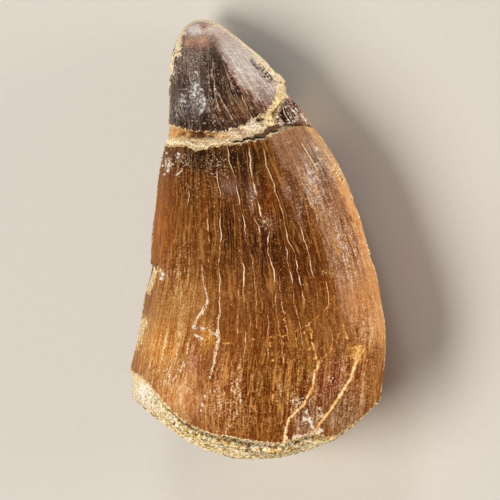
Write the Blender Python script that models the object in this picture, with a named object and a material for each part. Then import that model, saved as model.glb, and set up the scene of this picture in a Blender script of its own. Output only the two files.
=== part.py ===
# Fossil mosasaur tooth: a crown with a broken and re-set tip, lying on its flatter side.
# The tooth's length runs along Y with the tip at +Y. Its two cutting edges face -X and +X, and it rests on Z = 0.
# Lengths here are in millimetres, angles in degrees. A height is a distance along the tooth from its base end.
# An angle goes round a cross-section: 0 is the +X cutting edge, 90 the crest on top, 180 the -X cutting edge.
import math

import bmesh
import bpy
from mathutils import Matrix, Vector, noise

MM = 0.001
LENGTH = 35.0
ROLL = 35.6
POINTEDNESS = 0.4
EDGE_RIDGE = 0.025
EDGE_RIDGE_SPREAD = 3.4
RESTING_CUT = 0.35
GAP = 0.2

# The tooth's two side outlines as seen with the tooth rolled by ROLL: height, left side, right side.
OUTLINE = (
    (0.0, -10.1, 9.2),
    (3.0, -10.12, 9.5),
    (6.3, -10.17, 9.9),
    (8.5, -9.85, 10.1),
    (10.6, -9.45, 10.1),
    (12.5, -9.05, 9.8),
    (15.0, -8.6, 9.35),
    (17.5, -8.4, 8.6),
    (20.0, -8.1, 7.9),
    (22.5, -7.85, 6.9),
    (25.0, -7.35, 5.5),
    (26.5, -7.15, 4.4),
    (28.5, -7.05, 3.05),
    (30.1, -7.05, 1.95),
    (31.5, -6.95, 0.8),
    (33.0, -6.55, -0.9),
    (34.2, -5.95, -2.45),
    (34.8, -5.2, -3.45),
    (35.0, -4.4, -4.2),
)
# Depth of the crest side and of the flatter side, each as a share of the half width.
CREST_DEPTH = ((0.0, 0.82), (10.0, 0.82), (18.0, 0.82), (27.0, 0.88), (35.0, 0.98))
FLAT_DEPTH = ((0.0, 0.665), (10.0, 0.665), (18.0, 0.665), (27.0, 0.73), (35.0, 0.83))
# The tip end curves up a little from the surface that the tooth lies on.
LIFT = ((0.0, 0.0), (10.0, 0.0), (18.0, 0.0), (26.0, 0.4), (35.0, 1.7))

# The enamel's lower margin, as height by angle, and how far the filling stands out below it.
BASE_MARGIN = (
    (-180, 7.0), (-150, 6.2), (-120, 4.6), (-90, 3.8), (-60, 4.2), (-30, 5.0), (0, 4.5), (10, 3.6), (20, 2.8),
    (30, 2.0), (40, 2.2), (50, 1.5), (60, 1.6), (70, 1.9), (80, 2.3), (90, 3.1), (100, 4.3), (110, 5.6),
    (120, 6.4), (140, 6.9), (180, 7.0),
)
FILLING_STEP = (
    (-180, 1.8), (-150, 1.0), (-90, 0.7), (-30, 0.5), (0, 0.45), (30, 0.45), (40, 0.8), (60, 0.8), (80, 0.8),
    (100, 1.2), (120, 1.9), (150, 2.0), (180, 1.8),
)
# The break across the crown: the body's upper margin and the tip's lower margin.
BODY_TOP = (
    (-180, 25.0), (-150, 25.0), (-120, 25.2), (-90, 25.5), (-60, 25.8), (-20, 26.2), (0, 26.4), (20, 26.4),
    (30, 26.2), (40, 25.9), (50, 25.4), (60, 25.2), (80, 24.9), (90, 24.7), (100, 24.9), (140, 25.0),
    (180, 25.0),
)
TIP_LOW = (
    (-180, 26.6), (-150, 26.7), (-120, 27.0), (-90, 27.5), (-60, 28.3), (-40, 29.1), (-20, 29.8), (0, 29.8),
    (10, 29.5), (20, 28.9), (30, 28.1), (40, 27.4), (50, 27.0), (60, 26.3), (70, 25.9), (80, 25.8),
    (90, 25.8), (100, 26.0), (120, 26.4), (140, 26.5), (180, 26.6),
)
# The loose chip beside the break, from one angle to the other, and the height of its upper margin.
FLAKE_ANGLES = (-25.0, 34.0)
FLAKE_TOP = ((-25.0, 28.2), (5.0, 28.5), (20.0, 28.1), (34.0, 27.3))
FLAKE_DEPTH = 1.3
NOTCH_MARGIN = 3.0

HOLLOW_HEIGHT = 5.2
BODY_TOP_MIDDLE = 25.6
TIP_LOW_MIDDLE = 27.4
FILLING_INSET = 0.985
FILLING_CLEARANCE = 0.1
SEAM_INSET = 0.97
LEDGE_SLOPE = 0.1
DOME_POWER = 2.1
SAND_LUMPS = 0.22
SAND_LUMP_SIZE = 1.6
LUMP_FADE = 0.5

# Lost chips: angle, height, reach and depth. Near a cutting edge a turn goes less far than on a circle.
CHIPS = (
    (150, 15.5, 0.9, 0.4),
    (152, 10.2, 1.8, 0.2),
    (-6, 20.4, 0.8, 0.25),
    (-6, 16.0, 0.8, 0.25),
)
EDGE_TURN = 0.7
# A low ridge runs down the tip between its two facets.
RIDGE_ANGLE = 72.0
RIDGE_SPREAD = 16.0
RIDGE_START = 24.0
RIDGE_FADE = 3.0
RIDGE_RISE = 0.22

AROUND = 48
BODY_ROWS = 28
TIP_ROWS = 12
ROWS_TO_POINT = 1.5
CAP_STEPS = (0.93, 0.75, 0.5, 0.2)
DOME_STEPS = (0.95, 0.88, 0.78, 0.66, 0.52, 0.36, 0.18)
FLAKE_COLUMNS = 14
FLAKE_ROWS = 5


def through(points, at):
    """A smooth curve through points of (place, value)."""
    last = len(points) - 1
    step = next((i for i in range(last) if at <= points[i + 1][0]), last - 1)

    def slope(i):
        low, high = points[max(i - 1, 0)], points[min(i + 1, last)]
        return (high[1] - low[1]) / (high[0] - low[0])

    (start, first), (end, second) = points[step], points[step + 1]
    width = end - start
    s = min(max((at - start) / width, 0.0), 1.0)
    return (
        (1 + 2 * s) * (1 - s) ** 2 * first
        + s * (1 - s) ** 2 * width * slope(step)
        + s * s * (3 - 2 * s) * second
        + s * s * (s - 1) * width * slope(step + 1)
    )


def round_section(angle, crest, flat):
    """A point of the cross-section of half width 1, with a small ridge on each cutting edge."""
    turn = math.radians(angle)
    across, up = math.cos(turn), math.sin(turn)
    from_edge = math.degrees(math.asin(min(abs(up), 1.0)))
    ridge = 1 + EDGE_RIDGE * math.exp(-((from_edge / EDGE_RIDGE_SPREAD) ** 2))
    depth = crest if up >= 0 else flat
    return across * ridge, depth * up * (1 - POINTEDNESS * across * across)


def reach_in_view(crest, flat):
    """How far the section of half width 1 reaches to the right and to the left when rolled."""
    roll = math.radians(ROLL)
    seen = []
    for angle in range(-180, 180, 2):
        across, up = round_section(angle, crest, flat)
        seen.append(across * math.cos(roll) - up * math.sin(roll))
    return max(seen), -min(seen)


sections = {}


def section_at(height):
    """Centre, half width and depths of the cross-section at a height."""
    if height not in sections:
        roll = math.radians(ROLL)
        crest, flat = through(CREST_DEPTH, height), through(FLAT_DEPTH, height)
        right, left = reach_in_view(crest, flat)
        middle = through([(h, (a + b) / 2) for h, a, b in OUTLINE], height)
        half = math.sqrt(max(through([(h, ((b - a) / 2) ** 2) for h, a, b in OUTLINE], height), 0.0))
        wide = 2 * half / (right + left)
        centre_z = flat * wide - RESTING_CUT + through(LIFT, height)
        centre_x = (middle + half - wide * right + centre_z * math.sin(roll)) / math.cos(roll)
        sections[height] = centre_x, centre_z, wide, crest, flat
    return sections[height]


def relief(angle, height):
    """How far the surface stands out from the plain section, for the tip's ridge and the lost chips."""
    up_tip = min(max((height - RIDGE_START) / RIDGE_FADE, 0.0), 1.0)
    out = RIDGE_RISE * up_tip * math.exp(-(((angle - RIDGE_ANGLE) / RIDGE_SPREAD) ** 2))
    wide = section_at(height)[2]
    for chip_angle, chip_height, reach, depth in CHIPS:
        turn = (angle - chip_angle + 180) % 360 - 180
        along = math.hypot(math.radians(turn) * wide * EDGE_TURN, height - chip_height)
        out -= depth * math.exp(-((along / reach) ** 2))
    return out


def surface(angle, height, share=1.0, inward=0.0):
    """A point of the tooth: share 1 is the surface and 0 the middle, and inward goes in from the surface."""
    centre_x, centre_z, wide, crest, flat = section_at(round(height, 4))
    across, up = round_section(angle, crest, flat)
    size = max(wide * share + (relief(angle, height) - inward) * min(share, 1.0), 0.02)
    return Vector((centre_x + across * size, height - LENGTH / 2, centre_z + up * size))


def ring(heights, angles, share=1.0, inward=0.0):
    """One closed row of points round the tooth, its height given by angle."""
    return [surface(angle, heights(angle), share, inward) for angle in angles]


def angles_round():
    """Angles round the section, closer together at the cutting edges."""
    turns = [2 * math.pi * i / AROUND - math.pi for i in range(AROUND)]
    return [math.degrees(turn - 0.25 * math.sin(2 * turn)) for turn in turns]


def new_material(name, colour, roughness):
    material = bpy.data.materials.new(name)
    material.use_nodes = True
    shader = material.node_tree.nodes["Principled BSDF"]
    shader.inputs["Base Color"].default_value = (*colour, 1.0)
    shader.inputs["Roughness"].default_value = roughness
    shader.inputs["Metallic"].default_value = 0.0
    return material


def finish(name, bm, material):
    """Makes the object, in metres, shaded smooth but for its sharp margins."""
    bmesh.ops.recalc_face_normals(bm, faces=bm.faces)
    if bm.calc_volume(signed=True) < 0:
        bmesh.ops.reverse_faces(bm, faces=bm.faces)
    bmesh.ops.triangulate(bm, faces=bm.faces)
    mesh = bpy.data.meshes.new(name)
    bm.to_mesh(mesh)
    bm.free()
    mesh.transform(Matrix.Scale(MM, 4))
    mesh.shade_smooth()
    mesh.set_sharp_from_angle(angle=math.radians(40))
    mesh.materials.append(material)
    piece = bpy.data.objects.new(name, mesh)
    bpy.context.scene.collection.objects.link(piece)
    return piece


def loft(rows):
    """A closed solid through closed rows of points, each row joined to the next by faces."""
    bm = bmesh.new()
    loops = []
    for row in rows:
        verts = bmesh.ops.create_circle(bm, cap_ends=False, segments=len(row), radius=1.0)["verts"]
        for vert, place in zip(verts, row):
            vert.co = place
        loops.append(list({edge for vert in verts for edge in vert.link_edges}))
    for near, far in zip(loops, loops[1:]):
        bmesh.ops.bridge_loops(bm, edges=near + far)
    for end in (loops[0], loops[-1]):
        bmesh.ops.contextual_create(bm, geom=end)
    return bm


def cut_flat(bm, level):
    """Takes off what lies under a level and closes the cut with one flat face."""
    everything = bm.verts[:] + bm.edges[:] + bm.faces[:]
    cut = bmesh.ops.bisect_plane(
        bm, geom=everything, plane_co=(0, 0, level), plane_no=(0, 0, -1), clear_outer=True, dist=0.0001
    )
    rim = [item for item in cut["geom_cut"] if isinstance(item, bmesh.types.BMEdge)]
    bmesh.ops.contextual_create(bm, geom=rim)


def broken_face(margin, middle, angles):
    """Rows of a broken face, from near its rim to its middle, where it dips or swells to another height."""
    rows = []
    for share in CAP_STEPS:
        rows.append(ring(lambda angle: margin(angle) * share**2 + middle * (1 - share**2), angles, share))
    return rows


def base_margin(angle):
    return through(BASE_MARGIN, angle)


def body_top(angle):
    return through(BODY_TOP, angle)


def tip_low(angle):
    return through(TIP_LOW, angle)


def make_body(material):
    """The crown below the break, hollow at its base end, with a narrow flat where it lies on the ground."""
    angles = angles_round()
    rows = broken_face(base_margin, HOLLOW_HEIGHT, angles)[::-1]
    for step in range(BODY_ROWS + 1):
        up = step / BODY_ROWS
        rows.append(ring(lambda angle: base_margin(angle) * (1 - up) + body_top(angle) * up, angles))
    rows += broken_face(body_top, BODY_TOP_MIDDLE, angles)
    bm = loft(rows)
    cut_flat(bm, 0.0)
    return finish("crown_body", bm, material)


def make_tip(material):
    """The broken tip, set back on the crown."""
    angles = angles_round()
    rows = broken_face(tip_low, TIP_LOW_MIDDLE, angles)[::-1]
    for step in range(TIP_ROWS + 1):
        up = 1 - (1 - step / TIP_ROWS) ** ROWS_TO_POINT
        rows.append(ring(lambda angle: tip_low(angle) * (1 - up) + LENGTH * up, angles))
    return finish("crown_tip", loft(rows), material)


def flake_top(angle):
    return through(FLAKE_TOP, angle)


def make_flake(material):
    """A chip of enamel beside the break: a bent sheet of faces, pushed inwards to its thickness."""
    bm = bmesh.new()
    bmesh.ops.create_grid(bm, x_segments=FLAKE_COLUMNS, y_segments=FLAKE_ROWS, size=0.5)
    first, last = FLAKE_ANGLES

    def place(vert, inward):
        angle = first + (last - first) * (vert.co.x + 0.5)
        low, high = body_top(angle) + GAP, flake_top(angle)
        return surface(angle, low + (high - low) * (vert.co.y + 0.5), inward=inward)

    made = bmesh.ops.extrude_face_region(bm, geom=bm.faces[:], use_keep_orig=True)
    inner_verts = {item for item in made["geom"] if isinstance(item, bmesh.types.BMVert)}
    for vert in bm.verts:
        vert.co = place(vert, inward=FLAKE_DEPTH if vert in inner_verts else 0.0)
    return finish("edge_flake", bm, material)


def make_seam_fill(material):
    """The sandy filling in the break, with a ledge cut for the loose chip."""
    first, last = FLAKE_ANGLES[0] - NOTCH_MARGIN, FLAKE_ANGLES[1] + NOTCH_MARGIN
    steep = NOTCH_MARGIN / 2
    angles = [angle for angle in angles_round() if min(abs(angle - first), abs(angle - last)) > steep + 0.5]
    angles = sorted(angles + [first - steep, first, last, last + steep])

    def behind_flake(angle):
        return first <= angle <= last

    def low(angle):
        return body_top(angle) + GAP

    def high(angle):
        return tip_low(angle) - GAP

    def ledge(angle):
        return flake_top(angle) + GAP if behind_flake(angle) else (low(angle) + high(angle)) / 2

    def side(heights, under_ledge):
        points = []
        for angle in angles:
            height = heights(angle)
            inward = section_at(round(height, 4))[2] * (1 - SEAM_INSET)
            if under_ledge and behind_flake(angle):
                inward = FLAKE_DEPTH + GAP
            points.append(surface(angle, height, inward=inward))
        return points

    rows = broken_face(low, BODY_TOP_MIDDLE + GAP, angles)[:0:-1]
    rows.append(side(low, True))
    rows.append(side(lambda angle: ledge(angle) - LEDGE_SLOPE / 2, True))
    rows.append(side(lambda angle: ledge(angle) + LEDGE_SLOPE / 2, False))
    rows.append(side(high, False))
    rows += broken_face(high, TIP_LOW_MIDDLE - GAP, angles)[1:]
    return finish("seam_fill", loft(rows), material)


def make_base_matrix(material):
    """The sandy rock that fills the hollow base and bulges out of it."""
    angles = angles_round()

    def top(angle):
        return base_margin(angle) - GAP

    def foot(angle):
        return base_margin(angle) - through(FILLING_STEP, angle)

    rows = broken_face(top, HOLLOW_HEIGHT - GAP, angles)[::-1]
    for down in (0.0, 0.5, 1.0):
        rows.append(ring(lambda angle: top(angle) * (1 - down) + foot(angle) * down, angles, FILLING_INSET))
    bulge = []
    for share in DOME_STEPS:
        bulge.append(ring(lambda angle: foot(angle) * share**DOME_POWER, angles, share))
    for row in bulge:
        for place in row:
            from_end = place.y + LENGTH / 2
            place.y += SAND_LUMPS * noise.noise(place / SAND_LUMP_SIZE) * min(from_end / LUMP_FADE, 1.0)
    bm = loft(rows + bulge)
    cut_flat(bm, FILLING_CLEARANCE)
    return finish("base_matrix", bm, material)


def set_on_middle(pieces):
    """Moves the pieces so that their shared box has its bottom middle on the origin."""
    corners = [vert.co for piece in pieces for vert in piece.data.vertices]
    low = Vector([min(co[i] for co in corners) for i in range(3)])
    high = Vector([max(co[i] for co in corners) for i in range(3)])
    shift = Matrix.Translation((-(low.x + high.x) / 2, -(low.y + high.y) / 2, -low.z))
    for piece in pieces:
        piece.data.transform(shift)


def main():
    for old in list(bpy.data.objects):
        bpy.data.objects.remove(old, do_unlink=True)
    brown_enamel = new_material("brown enamel", (0.26, 0.11, 0.03), 0.4)
    dark_enamel = new_material("dark grey-brown enamel", (0.1, 0.06, 0.04), 0.4)
    sandy_filling = new_material("cream sandy filling", (0.68, 0.5, 0.26), 0.9)
    sandy_rock = new_material("sandy rock", (0.52, 0.42, 0.24), 0.95)
    chip_enamel = new_material("chipped enamel", (0.14, 0.08, 0.05), 0.45)
    pieces = [
        make_body(brown_enamel),
        make_tip(dark_enamel),
        make_flake(chip_enamel),
        make_seam_fill(sandy_filling),
        make_base_matrix(sandy_rock),
    ]
    set_on_middle(pieces)


main()
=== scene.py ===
# Fossil mosasaur tooth: the finished surfaces of its five pieces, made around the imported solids.
# Lengths are in millimetres and angles in degrees until a mesh is made. A height is a distance along
# the tooth from its base end. An angle goes round a cross-section: 0 is the right cutting edge, 90 the
# crest and 180 the left one. "Across" is a distance to the right as the camera sees the tooth, which is
# turned about its length by the roll.
import math

import bmesh
import bpy
import numpy as np
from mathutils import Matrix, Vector, noise


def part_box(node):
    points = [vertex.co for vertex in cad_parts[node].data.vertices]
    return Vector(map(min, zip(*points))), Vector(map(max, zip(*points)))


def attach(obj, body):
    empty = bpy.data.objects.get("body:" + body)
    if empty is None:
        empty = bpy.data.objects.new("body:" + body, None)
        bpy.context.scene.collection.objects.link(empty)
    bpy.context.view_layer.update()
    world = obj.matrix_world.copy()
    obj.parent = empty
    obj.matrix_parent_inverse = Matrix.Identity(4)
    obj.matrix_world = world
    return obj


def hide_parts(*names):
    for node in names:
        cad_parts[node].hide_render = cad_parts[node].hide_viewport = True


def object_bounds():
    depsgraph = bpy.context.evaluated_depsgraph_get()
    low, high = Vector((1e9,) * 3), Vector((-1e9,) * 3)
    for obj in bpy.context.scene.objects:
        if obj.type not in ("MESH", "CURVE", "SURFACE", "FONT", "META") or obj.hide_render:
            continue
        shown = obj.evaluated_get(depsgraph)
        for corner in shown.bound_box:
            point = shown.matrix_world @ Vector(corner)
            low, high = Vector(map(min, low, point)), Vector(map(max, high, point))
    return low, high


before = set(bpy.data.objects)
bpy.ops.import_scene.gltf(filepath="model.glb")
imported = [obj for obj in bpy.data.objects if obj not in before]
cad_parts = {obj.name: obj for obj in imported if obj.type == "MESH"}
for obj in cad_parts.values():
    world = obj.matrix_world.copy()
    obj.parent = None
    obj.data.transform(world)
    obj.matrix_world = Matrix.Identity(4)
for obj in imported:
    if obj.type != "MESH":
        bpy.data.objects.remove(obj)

mm = 0.001
cadBounds = [list(corner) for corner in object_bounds()]
print("frame loaded:", ", ".join(sorted(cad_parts)))

# The form that all five pieces share, as the solids have it.
toothForm = {
    "length": 35.0,
    "roll": 35.6,
    "pointedness": 0.4,
    "edgeRidge": 0.025,
    "edgeRidgeSpread": 3.4,
    "restingCut": 0.35,
    # height, left side and right side as the camera sees them
    "outline": (
        (0.0, -10.1, 9.2), (3.0, -10.12, 9.5), (6.3, -10.17, 9.9), (8.5, -9.85, 10.1),
        (10.6, -9.45, 10.1), (12.5, -9.05, 9.8), (15.0, -8.6, 9.35), (17.5, -8.4, 8.6),
        (20.0, -8.1, 7.9), (22.5, -7.85, 6.9), (25.0, -7.35, 5.5), (26.5, -7.15, 4.4),
        (28.5, -7.05, 3.05), (30.1, -7.05, 1.95), (31.5, -6.95, 0.8), (33.0, -6.55, -0.9),
        (34.2, -5.95, -2.45), (34.8, -5.2, -3.45), (35.0, -4.4, -4.2),
    ),
    # by height: depths of the crest side and the flat side as shares of the half width, and the lift
    "crestDepth": ((0.0, 0.82), (10.0, 0.82), (18.0, 0.82), (27.0, 0.88), (35.0, 0.98)),
    "flatDepth": ((0.0, 0.665), (10.0, 0.665), (18.0, 0.665), (27.0, 0.73), (35.0, 0.83)),
    "lift": ((0.0, 0.0), (10.0, 0.0), (18.0, 0.0), (26.0, 0.4), (35.0, 1.7)),
    # lost chips: angle, height, reach and depth
    "chips": ((150, 15.5, 0.9, 0.4), (152, 10.2, 1.8, 0.2), (-6, 20.4, 0.8, 0.25), (-6, 16.0, 0.8, 0.25)),
    "chipTurn": 0.7,  # below 1, a chip is wider than it is high
    # the low ridge down the tip
    "ridge": {"angle": 72.0, "spread": 16.0, "start": 24.0, "fade": 3.0, "rise": 0.22},
}
# Heights of the broken margins, by angle.
margins = {
    "base": (
        (-180, 7.0), (-150, 6.2), (-120, 4.6), (-90, 3.8), (-60, 4.2), (-30, 5.0), (0, 4.5), (10, 3.6),
        (20, 2.8), (30, 2.0), (40, 2.2), (50, 1.5), (60, 1.6), (70, 1.9), (80, 2.3), (90, 3.1),
        (100, 4.3), (110, 5.6), (120, 6.4), (140, 6.9), (180, 7.0),
    ),
    # how far the side of the base matrix stands free below the enamel
    "fillingStep": (
        (-180, 1.8), (-150, 1.0), (-90, 0.7), (-30, 0.5), (0, 0.45), (30, 0.45), (40, 0.8), (60, 0.8),
        (80, 0.8), (100, 1.2), (120, 1.9), (150, 2.0), (180, 1.8),
    ),
    "bodyTop": (
        (-180, 25.0), (-150, 25.0), (-120, 25.2), (-90, 25.5), (-60, 25.8), (-20, 26.2), (0, 26.4),
        (20, 26.4), (30, 26.2), (40, 25.9), (50, 25.4), (60, 25.2), (80, 24.9), (90, 24.7), (100, 24.9),
        (140, 25.0), (180, 25.0),
    ),
    "tipLow": (
        (-180, 26.6), (-150, 26.7), (-120, 27.0), (-90, 27.5), (-60, 28.3), (-40, 29.1), (-20, 29.8),
        (0, 29.8), (10, 29.5), (20, 28.9), (30, 28.1), (40, 27.4), (50, 27.0), (60, 26.3), (70, 25.9),
        (80, 25.8), (90, 25.8), (100, 26.0), (120, 26.4), (140, 26.5), (180, 26.6),
    ),
    "flakeTop": ((-25, 28.2), (5, 28.5), (20, 28.1), (34, 27.3)),
    # heights of the broken faces in their middle
    "hollow": 5.2,
    "bodyTopMiddle": 25.6,
    "tipLowMiddle": 27.4,
    "domePower": 2.1,  # how blunt the bulging base end is
    # the flake's two ends and its thickness
    "flakeAngles": (-25.0, 34.0),
    "flakeDepth": 1.3,
    # how far the fillings reach past the margins of the enamel
    "overlap": 0.03,
    # nicks: shares of coarse and fine ones, how much finer these are, and strength and size of what
    # the hidden side adds
    "nickShares": (0.6, 0.6),
    "nickFiner": 3,
    "nicksBehind": (1.5, 2.5),
}
# Angles on the right and on the left: where the seen side fades out, and between which columns are fine.
seenSpan = {"right": (-40, -27), "left": (156, 168), "fine": (-28, 158)}


# A smooth curve through points of (place, value), read at many places at once.
def through(points, at):
    place, value = np.array(points, float).T
    number = np.arange(len(place))
    low, high = np.maximum(number - 1, 0), np.minimum(number + 1, len(place) - 1)
    slope = (value[high] - value[low]) / (place[high] - place[low])
    at = np.clip(at, place[0], place[-1])
    step = np.clip(np.searchsorted(place, at) - 1, 0, len(place) - 2)
    width = place[step + 1] - place[step]
    s = (at - place[step]) / width
    return (
        (1 + 2 * s) * (1 - s) ** 2 * value[step]
        + s * (1 - s) ** 2 * width * slope[step]
        + s * s * (3 - 2 * s) * value[step + 1]
        + s * s * (s - 1) * width * slope[step + 1]
    )


# From 0 at the first value to 1 at the second, soft at both.
def softStep(value, low, high):
    s = np.clip((value - low) / (high - low), 0, 1)
    return s * s * (3 - 2 * s)


# A soft bell of height 1.
def bell(value, middle, spread):
    return np.exp(-(((value - middle) / spread) ** 2))


# The sum of bells round the tooth, each given as (angle, spread, strength).
def bells(angle, given):
    return sum(strength * bell(angle, middle, spread) for middle, spread, strength in given)


# The cross-section of half width 1, with a small ridge on each cutting edge.
def roundSection(angle, crest, flat):
    turn = np.radians(angle)
    across, up = np.cos(turn), np.sin(turn)
    fromEdge = np.degrees(np.arcsin(np.minimum(np.abs(up), 1.0)))
    ridge = 1 + toothForm["edgeRidge"] * bell(fromEdge, 0, toothForm["edgeRidgeSpread"])
    depth = np.where(up >= 0, crest, flat)
    return across * ridge, depth * up * (1 - toothForm["pointedness"] * across**2)


roll = math.radians(toothForm["roll"])
seenRight = Vector((math.cos(roll), 0.0, -math.sin(roll)))
seenToward = Vector((math.sin(roll), 0.0, math.cos(roll)))


# How far the section of half width 1 reaches to the right and to the left as seen, by height.
def reachTable():
    heights = np.linspace(0.0, toothForm["length"], 141)  # every 0.25
    crest, flat = through(toothForm["crestDepth"], heights), through(toothForm["flatDepth"], heights)
    around = np.arange(-180.0, 180.0, 2.0)[:, None]
    across, up = roundSection(around, crest, flat)
    seen = across * math.cos(roll) - up * math.sin(roll)
    return heights, seen.max(0), -seen.min(0)


reachHeights, reachRight, reachLeft = reachTable()


# Centre, half width and depths of the cross-sections at many heights.
def sectionAt(height):
    crest, flat = through(toothForm["crestDepth"], height), through(toothForm["flatDepth"], height)
    right, left = np.interp(height, reachHeights, reachRight), np.interp(height, reachHeights, reachLeft)
    middle = through([(h, (a + b) / 2) for h, a, b in toothForm["outline"]], height)
    halfSquared = through([(h, ((b - a) / 2) ** 2) for h, a, b in toothForm["outline"]], height)
    half = np.sqrt(np.maximum(halfSquared, 0))
    wide = 2 * half / (right + left)
    centreZ = flat * wide - toothForm["restingCut"] + through(toothForm["lift"], height)
    centreX = (middle + half - wide * right + centreZ * math.sin(roll)) / math.cos(roll)
    return centreX, centreZ, wide, crest, flat


# How far the solids stand out from the plain section: the tip's ridge and the lost chips.
def solidRelief(angle, height, wide):
    ridge = toothForm["ridge"]
    upTip = np.clip((height - ridge["start"]) / ridge["fade"], 0, 1)
    out = ridge["rise"] * upTip * bell(angle, ridge["angle"], ridge["spread"])
    for chipAngle, chipHeight, reach, depth in toothForm["chips"]:
        turn = (angle - chipAngle + 180) % 360 - 180
        along = np.hypot(np.radians(turn) * wide * toothForm["chipTurn"], height - chipHeight)
        out = out - depth * bell(along, 0, reach)
    return out


# The shift from the tooth's own frame to the model's. The solids' boxes settle it, once the surface can
# be read.
rowShift = np.zeros(3)


# Points of the tooth. A share of 1 is the surface and 0 the middle, and inward goes in from the surface.
def placeOn(angle, height, share=1.0, inward=0.0):
    centreX, centreZ, wide, crest, flat = sectionAt(height)
    across, up = roundSection(angle, crest, flat)
    out = solidRelief(angle, height, wide) - inward
    size = np.maximum(wide * share + out * np.minimum(share, 1.0), 0.02) * (share > 0)  # never quite closed
    return np.stack([centreX + across * size, height + 0 * size, centreZ + up * size], axis=-1) + rowShift


# How far across places lie as the camera sees them, and how high up the tooth.
def seenAt(places):
    own = places - rowShift
    return own[..., 0] * math.cos(roll) - own[..., 2] * math.sin(roll), own[..., 1]


# The shift that brings the body's widest point and the end of the tip to the sides of the solids' boxes.
def findRowShift():
    around, up = np.meshgrid(np.linspace(-180, 180, 361), np.linspace(0, 1, 60))
    height = through(margins["base"], around) * (1 - up) + through(margins["bodyTop"], around) * up
    own = placeOn(around, height)
    return np.array([
        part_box("crown_body")[1].x / mm - own[..., 0].max(),
        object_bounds()[1].y / mm - toothForm["length"],
        0.0,
    ])


rowShift = findRowShift()


# Noise from about -1 to 1 at each place, with patches of one size. It is the same in every run.
def noiseOver(places, size, octaves=1):
    flat = (places.reshape(-1, 3) / size).tolist()
    if octaves > 1:
        values = [noise.fractal(place, 0.9, 2.0, octaves) for place in flat]
    else:
        values = [noise.noise(place) for place in flat]
    return np.array(values).reshape(places.shape[:-1])


# Hollows from 0 to a depth, from noise of one size.
def hollows(places, size, depth, octaves=1):
    return depth * (0.5 - 0.5 * noiseOver(places, size, octaves))


# Patches of one size from 0 to 1, with soft borders. They take up more than half of the places.
def patchesOver(places, size, octaves=1):
    return softStep(noiseOver(places, size, octaves), -0.7, 0.1)


# Distance from each place to the middle of the nearest grain, as a share of the grain's size.
def grainsOver(places, size):
    flat = (places.reshape(-1, 3) / size).tolist()
    return np.array([noise.voronoi(place)[0][0] for place in flat]).reshape(places.shape[:-1])


# Soft round marks, each given as (across, height, half width, half height, strength).
def spots(across, height, given):
    total = np.zeros(np.shape(across))
    for middle, high, wide, tall, strength in given:
        mark = strength * np.exp(-(((across - middle) / wide) ** 2) - ((height - high) / tall) ** 2)
        total = np.maximum(total, mark)
    return total


# Lines from 0 at their sides to their strength in the middle, each given as (half width, strength, points).
# Stray distances, one for each place, bend them.
def lines(across, height, given, stray=(0.0, 0.0)):
    across, height = across + stray[0], height + stray[1]
    total = np.zeros(np.shape(across))
    for reach, strength, route in given:
        for (startX, startY), (endX, endY) in zip(route, route[1:]):
            runX, runY = endX - startX, endY - startY
            along = ((across - startX) * runX + (height - startY) * runY) / (runX**2 + runY**2)
            along = np.clip(along, 0, 1)
            away = np.hypot(across - startX - along * runX, height - startY - along * runY)
            total = np.maximum(total, strength * np.clip(1 - away / reach, 0, 1))
    return total


# An sRGB hex colour as linear red, green and blue.
def linear(hexColour):
    channels = np.array([int(hexColour[i : i + 2], 16) / 255 for i in (1, 3, 5)])
    return np.where(channels <= 0.04045, channels / 12.92, ((channels + 0.055) / 1.055) ** 2.4)


# Lays a colour over a tint, by a share for each place.
def layOver(tint, colour, share):
    return tint + (linear(colour) - tint) * share[..., None]


# One on the side that the camera sees, fading to 0 behind the left and right outlines.
def seenSide(angle):
    return softStep(angle, *seenSpan["right"]) * (1 - softStep(angle, *seenSpan["left"]))


# A colour for each place: the ground colour, with bands and soft zones laid over it in turn, on the seen
# side and behind. A band is all that lies right of a line, given by its colour, softness and points of
# (height, across, strength). Uneven distances, one for each place, let the borders run naturally.
def paint(angle, across, height, colours, uneven=0.0):
    seen = seenSide(angle)
    across, height = across + uneven, height + uneven
    layers = []
    for colour, soft, line in colours.get("bands", ()):
        highs, edges, strengths = np.array(line).T
        share = softStep(across - np.interp(height, highs, edges), -soft, soft)
        layers.append((colour, share * np.interp(height, highs, strengths) * seen))
    for colour, *zone in colours["zones"]:
        layers.append((colour, spots(across, height, [zone]) * seen))
    for colour, *zone in colours["behind"]:
        layers.append((colour, spots(angle, height, [zone]) * (1 - seen)))
    tint = np.tile(linear(colours["ground"]), np.shape(across) + (1,))
    for colour, share in layers:
        tint = layOver(tint, colour, share)
    return tint


# The height of a broken margin by angle, with nicks that go one way only and are larger behind.
def raggedMargin(points, nick):
    around = np.linspace(-180, 180, 2881)
    plain = through(points, around)
    onEdge = placeOn(around, plain)
    coarse, fine = margins["nickShares"]
    rough = coarse * noiseOver(onEdge, nick["size"])
    rough = rough + fine * noiseOver(onEdge, nick["size"] / margins["nickFiner"])
    more, size = margins["nicksBehind"]
    rough = rough + more * (1 - seenSide(around)) * (noiseOver(onEdge, size, 2) + 0.2)
    height = plain + nick["depth"] * np.clip(rough + 0.25, 0, 3)
    return around, height + bells(around, nick.get("gaps", ()))


# The angle on the seen side at a distance across.
def angleSeen(across, height):
    around = np.arange(150.0, -20.5, -0.5)
    seen = np.maximum.accumulate(seenAt(placeOn(around, np.full_like(around, height)))[0])
    return float(np.interp(across, seen, around))


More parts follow.
